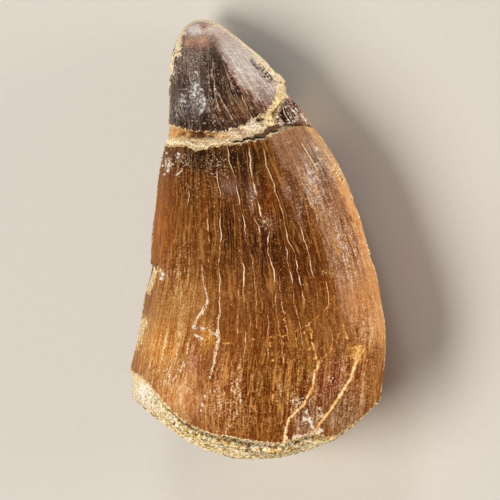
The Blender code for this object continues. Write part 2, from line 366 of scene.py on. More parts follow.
# How cracks run. Their wander and their filling are noises: size in mm, smoothness, how much finer each
# octave is, and how many octaves.
crackRun = {
    "wander": (1.4, 0.45, 2.5, 3),
    "filling": (0.8, 0.4, 2.5, 2),
    # the filling's middle, how far it varies, its least and its most
    "filled": (0.85, 0.9, 0.35, 1.15),
    # how readily a crack gives way, against 1 where its route has no strength, and how often they push
    "give": 0.1,
    "pushes": 80,
}


# Angle and strength of each crack at each height, from routes of (angle, height, strength) in the order of
# their angles.
def layCracks(cracks, heights, lay):
    turns, strengths = [], []
    for route in cracks:
        angles, highs, shares = np.array(route).T
        turns.append(np.interp(heights, highs, angles))
        strengths.append(np.interp(heights, highs, shares, 0, 0))
    turns, strengths = np.array(turns), np.array(strengths)
    wanderSize, *wanderKind = crackRun["wander"]
    fillingSize, *fillingKind = crackRun["filling"]
    middle, varies, least, most = crackRun["filled"]
    for number in range(len(turns)):  # a crack wanders a little and fills unevenly
        steps = [(height, 9.0 * number, 0.5) for height in heights.tolist()]
        wander = np.array([noise.fractal((h / wanderSize, k, z), *wanderKind) for h, k, z in steps])
        uneven = np.array([noise.fractal((h / fillingSize, k, z + 5), *fillingKind) for h, k, z in steps])
        turns[number] += lay["wander"] * wander * (strengths[number] != 0)
        strengths[number] *= np.clip(middle + varies * uneven, least, most)
    free = np.where(strengths != 0, crackRun["give"], 1.0)
    for _ in range(crackRun["pushes"]):  # cracks that come too close push each other apart
        push = np.maximum(lay["leastTurn"] - (turns[1:] - turns[:-1]), 0) / (free[1:] + free[:-1])
        turns[:-1] -= push * free[:-1] * 0.5
        turns[1:] += push * free[1:] * 0.5
    return turns, strengths


# Angles round the tooth, and the lengths of the steps between them at one height.
def measureGirth(girthHeight):
    around = np.linspace(-180, 180, 1441)
    ring = placeOn(around, np.full_like(around, girthHeight))
    return around, np.linalg.norm(np.diff(ring, axis=0), axis=1)


# Columns of points that follow the tooth's growth: one on each crack and one close on either side of it.
def layColumns(cracks, lay):
    heights = np.arange(0.0, toothForm["length"] + 0.1, 0.1)
    turns, strengths = layCracks(cracks, heights, lay)
    around, steps = measureGirth(lay["girthHeight"])
    girth = np.concatenate(([0], np.cumsum(steps)))
    atGirth = np.array([np.interp(lay["girthHeight"], heights, turn) for turn in turns])
    middles = np.interp(atGirth, around, girth)
    growth, crackColumns = [0.0], []
    for number in range(len(middles) + 1):
        isCrack = number < len(middles)
        half = lay["crackHalf"] * (0.7 + 0.6 * np.abs(strengths[number]).max()) if isCrack else 0
        end = middles[number] - half if isCrack else girth[-1]
        start = growth[-1]
        between = np.interp((start + end) / 2, girth, around)
        isFine = seenSpan["fine"][0] < between < seenSpan["fine"][1]
        spacing = lay["seenSpacing"] if isFine else lay["hiddenSpacing"]
        count = max(int(round((end - start) / spacing)), 1)
        growth += list(np.linspace(start, end, count + 1)[1:])
        if isCrack:
            crackColumns.append(len(growth))
            growth += [middles[number], middles[number] + half]
    growth = np.array(growth)
    angle = np.interp(growth, girth, around)
    ends = np.concatenate(([-180], atGirth, [180]))
    drift = np.zeros((len(heights), len(growth)))
    crack = np.zeros((len(heights), len(growth)))
    for row in range(len(heights)):
        shift = np.concatenate(([0], turns[:, row] - atGirth, [0]))
        drift[row] = np.interp(angle, ends, shift)
        crack[row, crackColumns] = strengths[:, row]
        # painted shade: a dark line right beside each crack
        for side in (-1, 1):  # the enamel is dark right beside a crack
            crack[row, np.array(crackColumns) + side] = -lay["crackShade"] * np.abs(strengths[:, row])
    return {
        "angle": angle, "growth": growth, "girth": girth[-1],
        "heights": heights, "drift": drift, "crack": crack,
    }


# Angle, height and crack strength over the side of a piece, from its low margin to its high one.
def laySide(columns, up, low, high):
    angle = np.tile(columns["angle"], (len(up), 1))
    count = angle.shape[1]
    for _ in range(4):
        height = np.interp(angle, *low) * (1 - up[:, None]) + np.interp(angle, *high) * up[:, None]
        for column in range(count):
            drift = np.interp(height[:, column], columns["heights"], columns["drift"][:, column])
            angle[:, column] = columns["angle"][column] + drift
    crack = np.zeros(angle.shape)
    for column in range(count):
        crack[:, column] = np.interp(height[:, column], columns["heights"], columns["crack"][:, column])
    return angle, height, crack


# Coordinates for noise that is stretched along the growth and closes round the tooth.
def alongGrowth(columns, height, across, along):
    turn = 2 * np.pi * columns["growth"] / columns["girth"] + 0 * height
    radius = columns["girth"] / (2 * np.pi * across)
    return np.stack([radius * np.cos(turn), radius * np.sin(turn), height / along], axis=-1)


# How far the skin of a crown piece lies inside its solid: swells, growth ribs, cracks, ragged edges, pits
# and notches, less the crumbs that stand on it. The crumbs, from 0 to 1, come back too.
def skinRelief(look, columns, skin):
    plain, across, height, seen = skin["plain"], skin["across"], skin["height"], skin["seen"]
    inward = look["crackDepth"] * np.abs(skin["crack"])
    for size, depth, octaves in look["swells"]:
        inward += hollows(plain, size, depth, octaves)
    width, along, depth = look["rib"]
    inward += hollows(alongGrowth(columns, height, width, along), 1.0, depth)
    size, depth = look["raggedEdge"]
    inward += depth * skin["nearEdge"] * np.clip(noiseOver(plain, size, 3) + 0.15, 0, 1)
    size, depth = look["pits"]
    pitted = spots(across, height, look["pitted"]) * seen
    inward += depth * pitted * np.clip(noiseOver(plain, size, 2) + 0.2, 0, 1)
    for middle, spread, top, foot, depth in look["notches"]:
        step = softStep(height, top + 0.12, top - 0.08) * np.clip((height - foot) / (top - foot), 0, 1)
        inward += depth * step * bell(skin["angle"], middle, spread)
    crumb = np.zeros(height.shape)
    for middle, high, wide, tall, rise in look["crumbs"]:
        # a rough lump with a firm border
        away = ((across - middle) / wide) ** 2 + ((height - high) / tall) ** 2
        lump = softStep(1.3 - away + 0.9 * noiseOver(plain, 0.16), 0.2, 0.8) * seen
        crumb = np.maximum(crumb, lump)
        inward -= rise * lump
    return inward, crumb


# A crown piece's skin before its relief, by row and column.
def plainSkin(columns, up, low, high):
    angle, height, crack = laySide(columns, up, low, high)
    plain = placeOn(angle, height)
    across, _ = seenAt(plain)
    seen = seenSide(angle)
    return {
        "angle": angle, "height": height, "crack": crack, "plain": plain, "across": across, "seen": seen,
    }


# Bare edges: ragged lines, bent by noise of one size, by so much across and along.
def bareLines(look, skin):
    size, bendAcross, bendAlong = look["edgeBend"]
    plain = skin["plain"]
    stray = bendAcross * noiseOver(plain, size, 3), bendAlong * noiseOver(plain + 7, size, 3)
    return lines(skin["across"], skin["height"], look["bareEdges"], stray)


# What fossilEnamel reads from the side of a crown piece.
def enamelMarks(look, skin, crumb, rim):
    angle, across, height, seen = skin["angle"], skin["across"], skin["height"], skin["seen"]
    size, uneven = look["tintRun"]
    tint = paint(angle, across, height, look["colours"], uneven * noiseOver(skin["plain"], size, 3))
    tint = layOver(tint, look["crumbColour"], look["crumbSeen"] * crumb)
    lime = np.clip(2.2 * lines(across, height, look["limes"]), 0, 1)  # with firm sides
    crust = np.maximum(spots(across, height, look["crusts"]), lime)
    hair = np.maximum(spots(across, height, look["hairs"]), look["plainness"])
    return {
        "tint": tint,
        "crack": skin["crack"],
        "vein": lines(across, height, look["veins"]) * seen,
        "hair": hair * seen + look["hairBehind"] * (1 - seen),
        "crust": crust * seen * (1 - look["crumbClean"] * crumb) + look["crustBehind"] * (1 - seen),
        "rim": rim,
    }


# Carries marks on over the rows of the broken faces below and above: the tint of their rims, and no
# marks but the given rim.
def overFaces(marks, below, above, rim=0.0):
    whole = {}
    for mark, side in marks.items():
        if mark == "tint":
            ends = np.repeat(side[:1], below, 0), np.repeat(side[-1:], above, 0)
            whole[mark] = np.concatenate([ends[0], side, ends[1]])
        else:
            fill = rim if mark == "rim" else 0.0
            whole[mark] = np.pad(side, ((below, above), (0, 0)), constant_values=fill)
    return whole


# Pushes the points of a closed skin out along its normals, by a distance for each.
def pushOut(places, distance):
    ring = places[:, :-1]
    along = np.gradient(ring, axis=0)
    normal = np.cross(along, np.roll(ring, -1, 1) - np.roll(ring, 1, 1))
    length = np.linalg.norm(normal, axis=-1, keepdims=True)
    normal = normal / np.maximum(length, 1e-9)
    normal = np.concatenate([normal, normal[:, :1]], axis=1)
    return places + normal * distance[..., None]


# A mesh from a grid whose points lie in rows of columns. A skin that closes round itself has its doubles
# merged, and an open one is thickened as far as its inner points.
def weave(name, places, growth, height, marks, inner=None):
    rows, count = places.shape[:2]
    bm = bmesh.new()
    bmesh.ops.create_grid(bm, x_segments=count - 1, y_segments=rows - 1, size=0.5)
    mesh = bpy.data.meshes.new(name)
    bm.to_mesh(mesh)
    flat = np.empty(len(mesh.vertices) * 3, np.float32)
    mesh.vertices.foreach_get("co", flat)
    column = np.rint((flat[0::3] + 0.5) * (count - 1)).astype(int)
    row = np.rint((flat[1::3] + 0.5) * (rows - 1)).astype(int)
    mesh.vertices.foreach_set("co", (places[row, column] * mm).astype(np.float32).ravel())
    for mark, values in marks.items():
        kind = "FLOAT_COLOR" if values.ndim == 3 else "FLOAT"
        layer = mesh.attributes.new(mark, kind, "POINT")
        if values.ndim == 3:
            colours = np.concatenate([values[row, column], np.ones((len(row), 1))], axis=1)
            layer.data.foreach_set("color", colours.astype(np.float32).ravel())
        else:
            layer.data.foreach_set("value", values[row, column].astype(np.float32))
    if inner is not None:
        mesh.attributes.new("number", "INT", "POINT").data.foreach_set("value", row * count + column)
    corner = np.empty(len(mesh.loops), np.int32)
    mesh.loops.foreach_get("vertex_index", corner)
    unrolled = np.stack([(growth + 0 * height)[row, column], height[row, column]], axis=-1)
    mesh.uv_layers.new(name="growth").data.foreach_set("uv", unrolled[corner].astype(np.float32).ravel())
    bm.clear()
    bm.from_mesh(mesh)
    if inner is None:
        bmesh.ops.remove_doubles(bm, verts=bm.verts, dist=0.0005 * mm)
    else:
        number = bm.verts.layers.int["number"]
        made = bmesh.ops.extrude_face_region(bm, geom=bm.faces[:], use_keep_orig=True)
        for vert in made["geom"]:
            if isinstance(vert, bmesh.types.BMVert):
                vert.co = inner[divmod(vert[number], count)] * mm
        bm.verts.layers.int.remove(number)
    bmesh.ops.recalc_face_normals(bm, faces=bm.faces)
    if bm.calc_volume(signed=True) < 0:
        bmesh.ops.reverse_faces(bm, faces=bm.faces)
    bm.to_mesh(mesh)
    bm.free()
    mesh.shade_smooth()
    piece = bpy.data.objects.new(name, mesh)
    bpy.context.scene.collection.objects.link(piece)
    print(f"{name}: {sum(len(face.vertices) - 2 for face in mesh.polygons)} triangles")
    return piece


# Gives a piece its material, hangs it on the root, and hides the solid of the node that it stands for.
def dress(piece, node, material):
    piece.data.materials.append(material)
    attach(piece, "root")
    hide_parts(node)


# Adds a shader node with its settings and links, and gives back one of its outputs.
def addNode(tree, kind, links=None, out=0, stops=(), **settings):
    node = tree.nodes.new("ShaderNode" + kind)
    for name, value in settings.items():
        setattr(node, name, value)
    for place, value in (links or {}).items():
        if isinstance(value, bpy.types.NodeSocket):
            tree.links.new(value, node.inputs[place])
        else:
            node.inputs[place].default_value = value
    for number, (position, colour) in enumerate(stops):
        ramp = node.color_ramp.elements
        element = ramp[number] if number < 2 else ramp.new(position)
        element.position = position
        element.color = (*linear(colour), 1.0)
    return node.outputs[out]


def newMaterial(name):
    material = bpy.data.materials.new(name)
    material.use_nodes = True
    tree = material.node_tree
    return material, tree, tree.nodes["Principled BSDF"]


# Fossil tooth enamel: apatite stained by iron, dense and polished by wear, so it has a soft gloss.
# Growth lines run along it as fine streaks, mineral grains show through as pale specks that also
# serve as painted glints, and old shrinkage cracks are filled with pale lime. Real growth lines and
# grains are finer than 0.1 mm, and are drawn as coarse as they need to show. Noise lies mostly between
# 0.3 and 0.7, and the ranges below go by that.
def fossilEnamel(name, look):
    material, tree, shader = newMaterial(name)
    tint = addNode(tree, "Attribute", out="Color", attribute_name="tint")
    marks = {}
    for mark in ("crack", "vein", "hair", "crust", "rim"):
        marks[mark] = addNode(tree, "Attribute", out="Fac", attribute_name=mark)
    growth = addNode(tree, "UVMap", uv_map="growth")
    place = addNode(tree, "TexCoord", out="Object")
    patterns = {}
    for pattern, (across, along, detail) in look["streaks"].items():
        stretched = addNode(tree, "Mapping", {"Vector": growth, "Scale": (1 / across, 1 / along, 1.0)})
        patterns[pattern] = addNode(tree, "TexNoise", {"Vector": stretched, "Scale": 1.0, "Detail": detail})
    for pattern, (size, detail) in look["grains"].items():
        patterns[pattern] = addNode(tree, "TexNoise", {
            "Vector": place, "Scale": 1 / (size * mm), "Detail": detail, "Roughness": 0.6,
        })
    # light and dark along the growth and from grain to grain: a low power pales a colour, a high one
    # deepens it
    shade = 0.0
    for pattern, depth in look["shades"].items():
        part = addNode(tree, "MapRange", {
            "Value": patterns[pattern], "From Min": 0.38, "From Max": 0.62, "To Min": depth,
            "To Max": -depth,
        })
        shade = addNode(tree, "Math", {0: part, 1: shade}, operation="ADD")
    power = addNode(tree, "Math", {0: shade, 1: marks["hair"], 2: 1.0}, operation="MULTIPLY_ADD")
    colour = addNode(tree, "Gamma", {"Color": tint, "Gamma": power})
    # warm light streaks, and short pale dashes
    warm = addNode(tree, "MapRange", {
        "Value": patterns["fine"], "From Min": 0.54, "From Max": 0.7, "To Min": 0.0,
        "To Max": look["warmth"],
    })
    dash = addNode(tree, "MapRange", {
        "Value": patterns["thread"], "From Min": look["dashGate"], "From Max": look["dashGate"] + 0.07,
        "To Max": look["dashShow"],
    })
    dash = addNode(tree, "Math", {0: dash, 1: marks["hair"]}, operation="MULTIPLY")
    # hair-fine pale lines where a stretched noise crosses its middle value
    offMiddle = addNode(tree, "Math", {0: patterns["hairs"], 1: 0.5}, operation="SUBTRACT")
    offMiddle = addNode(tree, "Math", {0: offMiddle}, operation="ABSOLUTE")
    hair = addNode(tree, "MapRange", {
        "Value": offMiddle, "From Min": 0.0, "From Max": look["hairWidth"], "To Min": 1.0, "To Max": 0.0,
    })
    broken = addNode(tree, "MapRange", {"Value": patterns["breaks"], "From Min": 0.4, "From Max": 0.5})
    hair = addNode(tree, "Math", {0: hair, 1: broken}, operation="MULTIPLY")
    hair = addNode(tree, "Math", {0: hair, 1: marks["hair"]}, operation="MULTIPLY")
    # pale specks of grain, which also serve as painted glints, thicker where there is crust
    speck = {0: marks["crust"], 1: look["crustSpecks"], 2: patterns["specks"]}
    speck = addNode(tree, "Math", speck, operation="MULTIPLY_ADD")
    gate = look["speckGate"]
    speck = addNode(tree, "MapRange", {
        "Value": speck, "From Min": gate, "From Max": gate + 0.06, "To Max": look["speckShow"],
    })
    # crust: clumps of pale grit
    clump = {0: marks["crust"], 1: 0.42, 2: patterns["clumps"]}
    clump = addNode(tree, "Math", clump, operation="MULTIPLY_ADD")
    gate = look["clumpGate"]
    clump = addNode(tree, "MapRange", {
        "Value": clump, "From Min": gate, "From Max": gate + 0.1, "To Max": look["clumpShow"],
    })
    # ochre veins with ragged sides
    ragged = addNode(tree, "MapRange", {
        "Value": patterns["specks"], "From Min": 0.3, "From Max": 0.7, "To Min": -0.3, "To Max": 0.3,
    }, clamp=False)
    vein = addNode(tree, "Math", {0: ragged, 1: 0.5, 2: marks["vein"]}, operation="MULTIPLY_ADD")
    vein = addNode(tree, "Math", {0: patterns["clumps"], 1: 1.4, 2: vein}, operation="MULTIPLY_ADD")
    vein = addNode(tree, "Math", {0: vein, 1: 0.7}, operation="SUBTRACT")
    veinShare = addNode(tree, "MapRange", {"Value": vein, "From Min": 0.2, "From Max": 0.5, "To Max": 0.95})
    veinColour = addNode(tree, "ValToRGB", {0: vein}, stops=look["veinColours"])
    # cracks filled with pale lime, here and there broken off, open ones dark with dirt, and painted shade
    # along the sides of each crack
    filled = addNode(tree, "MapRange", {
        "Value": patterns["specks"], "From Min": 0.38, "From Max": 0.6, "To Min": 0.7, "To Max": 1.1,
    })
    crack = addNode(tree, "Math", {0: marks["crack"], 1: filled}, operation="MULTIPLY")
    crackColour = addNode(tree, "ValToRGB", {0: crack}, stops=look["crackColours"])
    crackShare = addNode(tree, "MapRange", {
        "Value": crack, "From Min": 0.1, "From Max": 0.36, "To Max": 0.95,
    })
    # dark dirt in open cracks, and the painted shade beside every crack
    shadedCrack = addNode(tree, "MapRange", {
        "Value": marks["crack"], "From Min": -0.06, "From Max": -0.8, "To Max": 0.9,
    })
    # bare edges, and along the outlines partly a painted rim light
    edge = addNode(tree, "Math", {0: marks["rim"], 1: ragged}, operation="ADD")
    edge = addNode(tree, "MapRange", {"Value": edge, "From Min": 0.34, "From Max": 0.54, "To Max": 0.95})
    rimColour = addNode(tree, "ValToRGB", {0: patterns["rimGrains"]}, stops=look["rimColours"])
    layers = (
        (warm, look["warmColour"]),
        (dash, look["dashColour"]),
        (hair, look["hairColour"]),
        (shadedCrack, look["dirtAndShadeColour"]),
        (speck, look["speckColour"]),
        (clump, look["clumpColour"]),
        (veinShare, veinColour),
        (crackShare, crackColour),
        (edge, rimColour),
    )
    for share, over in layers:
        over = (*linear(over), 1) if isinstance(over, str) else over
        colour = addNode(tree, "Mix", {0: share, 6: colour, 7: over}, out=2, data_type="RGBA")
    tree.links.new(colour, shader.inputs["Base Color"])
    # gloss: polished enamel between dull specks, cracks and crust
    dull = speck
    for share in (clump, edge, veinShare, crackShare):
        dull = addNode(tree, "Math", {0: dull, 1: share}, operation="MAXIMUM")
    polished, etched = look["roughness"]
    gloss = addNode(tree, "MapRange", {
        "Value": patterns["clumps"], "From Min": 0.3, "From Max": 0.7, "To Min": polished, "To Max": etched,
    })
    rough = addNode(tree, "Mix", {0: dull, 2: gloss, 3: 0.75}, data_type="FLOAT")
    tree.links.new(rough, shader.inputs["Roughness"])
    shader.inputs["IOR"].default_value = 1.6  # apatite
    shader.inputs["Specular IOR Level"].default_value = look["specular"]  # old enamel is a little etched
    # fine relief: growth lines, grains and what stands on them
    relief = {0: patterns["fine"], 1: 0.8, 2: patterns["specks"]}
    relief = addNode(tree, "Math", relief, operation="MULTIPLY_ADD")
    relief = addNode(tree, "Math", {0: clump, 1: 0.5, 2: relief}, operation="MULTIPLY_ADD")
    relief = addNode(tree, "Math", {0: crackShare, 1: 0.4, 2: relief}, operation="MULTIPLY_ADD")
    bump = addNode(tree, "Bump", {"Height": relief, "Strength": look["bump"], "Distance": 0.06 * mm})
    tree.links.new(bump, shader.inputs["Normal"])
    return material


# Sand cemented by lime: rounded grains of quartz and shell in cream and ochre, dull, with dark gaps
# between.
def cementedSand(name, look):
    material, tree, shader = newMaterial(name)
    place = addNode(tree, "TexCoord", out="Object")
    tint = addNode(tree, "Attribute", out="Color", attribute_name="tint")
    smooth = addNode(tree, "Attribute", out="Fac", attribute_name="smooth")
    shadow = addNode(tree, "Attribute", out="Fac", attribute_name="shadow")
    drift = {"Vector": place, "Scale": 1 / (look["bendRun"] * mm), "Detail": 2.0}
    drift = addNode(tree, "TexNoise", drift, out="Color")
    bent = {0: drift, 1: (look["bend"] * mm,) * 3, 2: place}
    bent = addNode(tree, "VectorMath", bent, operation="MULTIPLY_ADD")
    grains = {"Vector": bent, "Scale": 1 / (look["grain"] * mm)}
    grain = addNode(tree, "TexVoronoi", grains, out="Color")
    fromMiddle = addNode(tree, "TexVoronoi", grains, out="Distance")
    fine = addNode(tree, "TexNoise", {"Vector": place, "Scale": 1 / (look["fine"] * mm), "Detail": 3.0})
    pick = addNode(tree, "SeparateXYZ", {0: grain})
    grainColour = addNode(tree, "ValToRGB", {0: pick}, stops=look["grainColours"])
    colour = addNode(tree, "Mix", {0: look["grainShow"], 6: tint, 7: grainColour}, out=2, data_type="RGBA")
    # a few larger, smoother grains among the small ones
    larger = {"Vector": bent, "Scale": 1 / (look["pebble"] * mm)}
    pebbleKind = addNode(tree, "TexVoronoi", larger, out="Color")
    fromPebble = addNode(tree, "TexVoronoi", larger, out="Distance")
    pebblePick = addNode(tree, "SeparateXYZ", {0: pebbleKind})
    pebble = addNode(tree, "Math", {0: fromPebble, 1: -0.8, 2: pebblePick}, operation="MULTIPLY_ADD")
    gate = look["pebbleGate"]
    pebble = addNode(tree, "MapRange", {
        "Value": pebble, "From Min": gate, "From Max": gate + 0.04, "To Max": 0.85,
    })
    pebbleTint = addNode(tree, "SeparateXYZ", {0: pebbleKind}, out=1)
    pebbleColour = addNode(tree, "ValToRGB", {0: pebbleTint}, stops=look["pebbleColours"])
    colour = addNode(tree, "Mix", {0: pebble, 6: colour, 7: pebbleColour}, out=2, data_type="RGBA")
    colour = addNode(tree, "Mix", {0: smooth, 6: colour, 7: tint}, out=2, data_type="RGBA")
    depth = look["mottle"]
    mottle = addNode(tree, "MapRange", {
        "Value": fine, "From Min": 0.3, "From Max": 0.7, "To Min": 1 - depth, "To Max": 1 + depth,
    })
    size, depth = look["patches"]
    patch = addNode(tree, "TexNoise", {"Vector": place, "Scale": 1 / (size * mm), "Detail": 3.0})
    patch = addNode(tree, "MapRange", {
        "Value": patch, "From Min": 0.36, "From Max": 0.64, "To Min": 1 - depth, "To Max": 1 + depth,
    })
    patch = addNode(tree, "Mix", {0: smooth, 2: patch, 3: 1.0}, data_type="FLOAT")
    mottle = addNode(tree, "Math", {0: mottle, 1: patch}, operation="MULTIPLY")
    colour = addNode(tree, "VectorMath", {0: colour, "Scale": mottle}, operation="SCALE")
    # dark gaps between grains, and dark dots on the smooth parts
    start = look["gapStart"]
    gap = addNode(tree, "MapRange", {
        "Value": fromMiddle, "From Min": start, "From Max": start + 0.25, "To Max": look["gapShow"],
    })
    rougher = addNode(tree, "Math", {0: smooth, 1: pebble}, operation="MAXIMUM")
    rougher = addNode(tree, "Math", {0: 1.0, 1: rougher}, operation="SUBTRACT")
    gap = addNode(tree, "Math", {0: gap, 1: rougher}, operation="MULTIPLY")
    start = look["dotStart"]
    dot = addNode(tree, "MapRange", {
        "Value": fine, "From Min": start, "From Max": start - 0.07, "To Max": look["dotShow"],
    })
    dark = addNode(tree, "Math", {0: gap, 1: dot}, operation="MAXIMUM")
    # where the shadow mark is high, painted shade breaks into dark pits
    pitted = addNode(tree, "Math", {0: shadow, 1: 0.24, 2: fine}, operation="MULTIPLY_ADD")
    pitted = addNode(tree, "MapRange", {"Value": pitted, "From Min": 0.68, "From Max": 0.76, "To Max": 0.9})
    dark = addNode(tree, "Math", {0: dark, 1: pitted}, operation="MAXIMUM")
    gapColour = (*linear(look["gapColour"]), 1)
    colour = addNode(tree, "Mix", {0: dark, 6: colour, 7: gapColour}, out=2, data_type="RGBA")
    tree.links.new(colour, shader.inputs["Base Color"])
    rough = addNode(tree, "MapRange", {
        "Value": fine, "From Min": 0.3, "From Max": 0.7, "To Min": 0.6, "To Max": 0.9,
    })
    tree.links.new(rough, shader.inputs["Roughness"])
    shader.inputs["Specular IOR Level"].default_value = 0.12  # dusty grains hardly shine
    relief = addNode(tree, "Math", {0: dark, 1: -0.8, 2: fine}, operation="MULTIPLY_ADD")
    bump = addNode(tree, "Bump", {"Height": relief, "Strength": look["bump"], "Distance": 0.1 * mm})
    tree.links.new(bump, shader.inputs["Normal"])
    return material


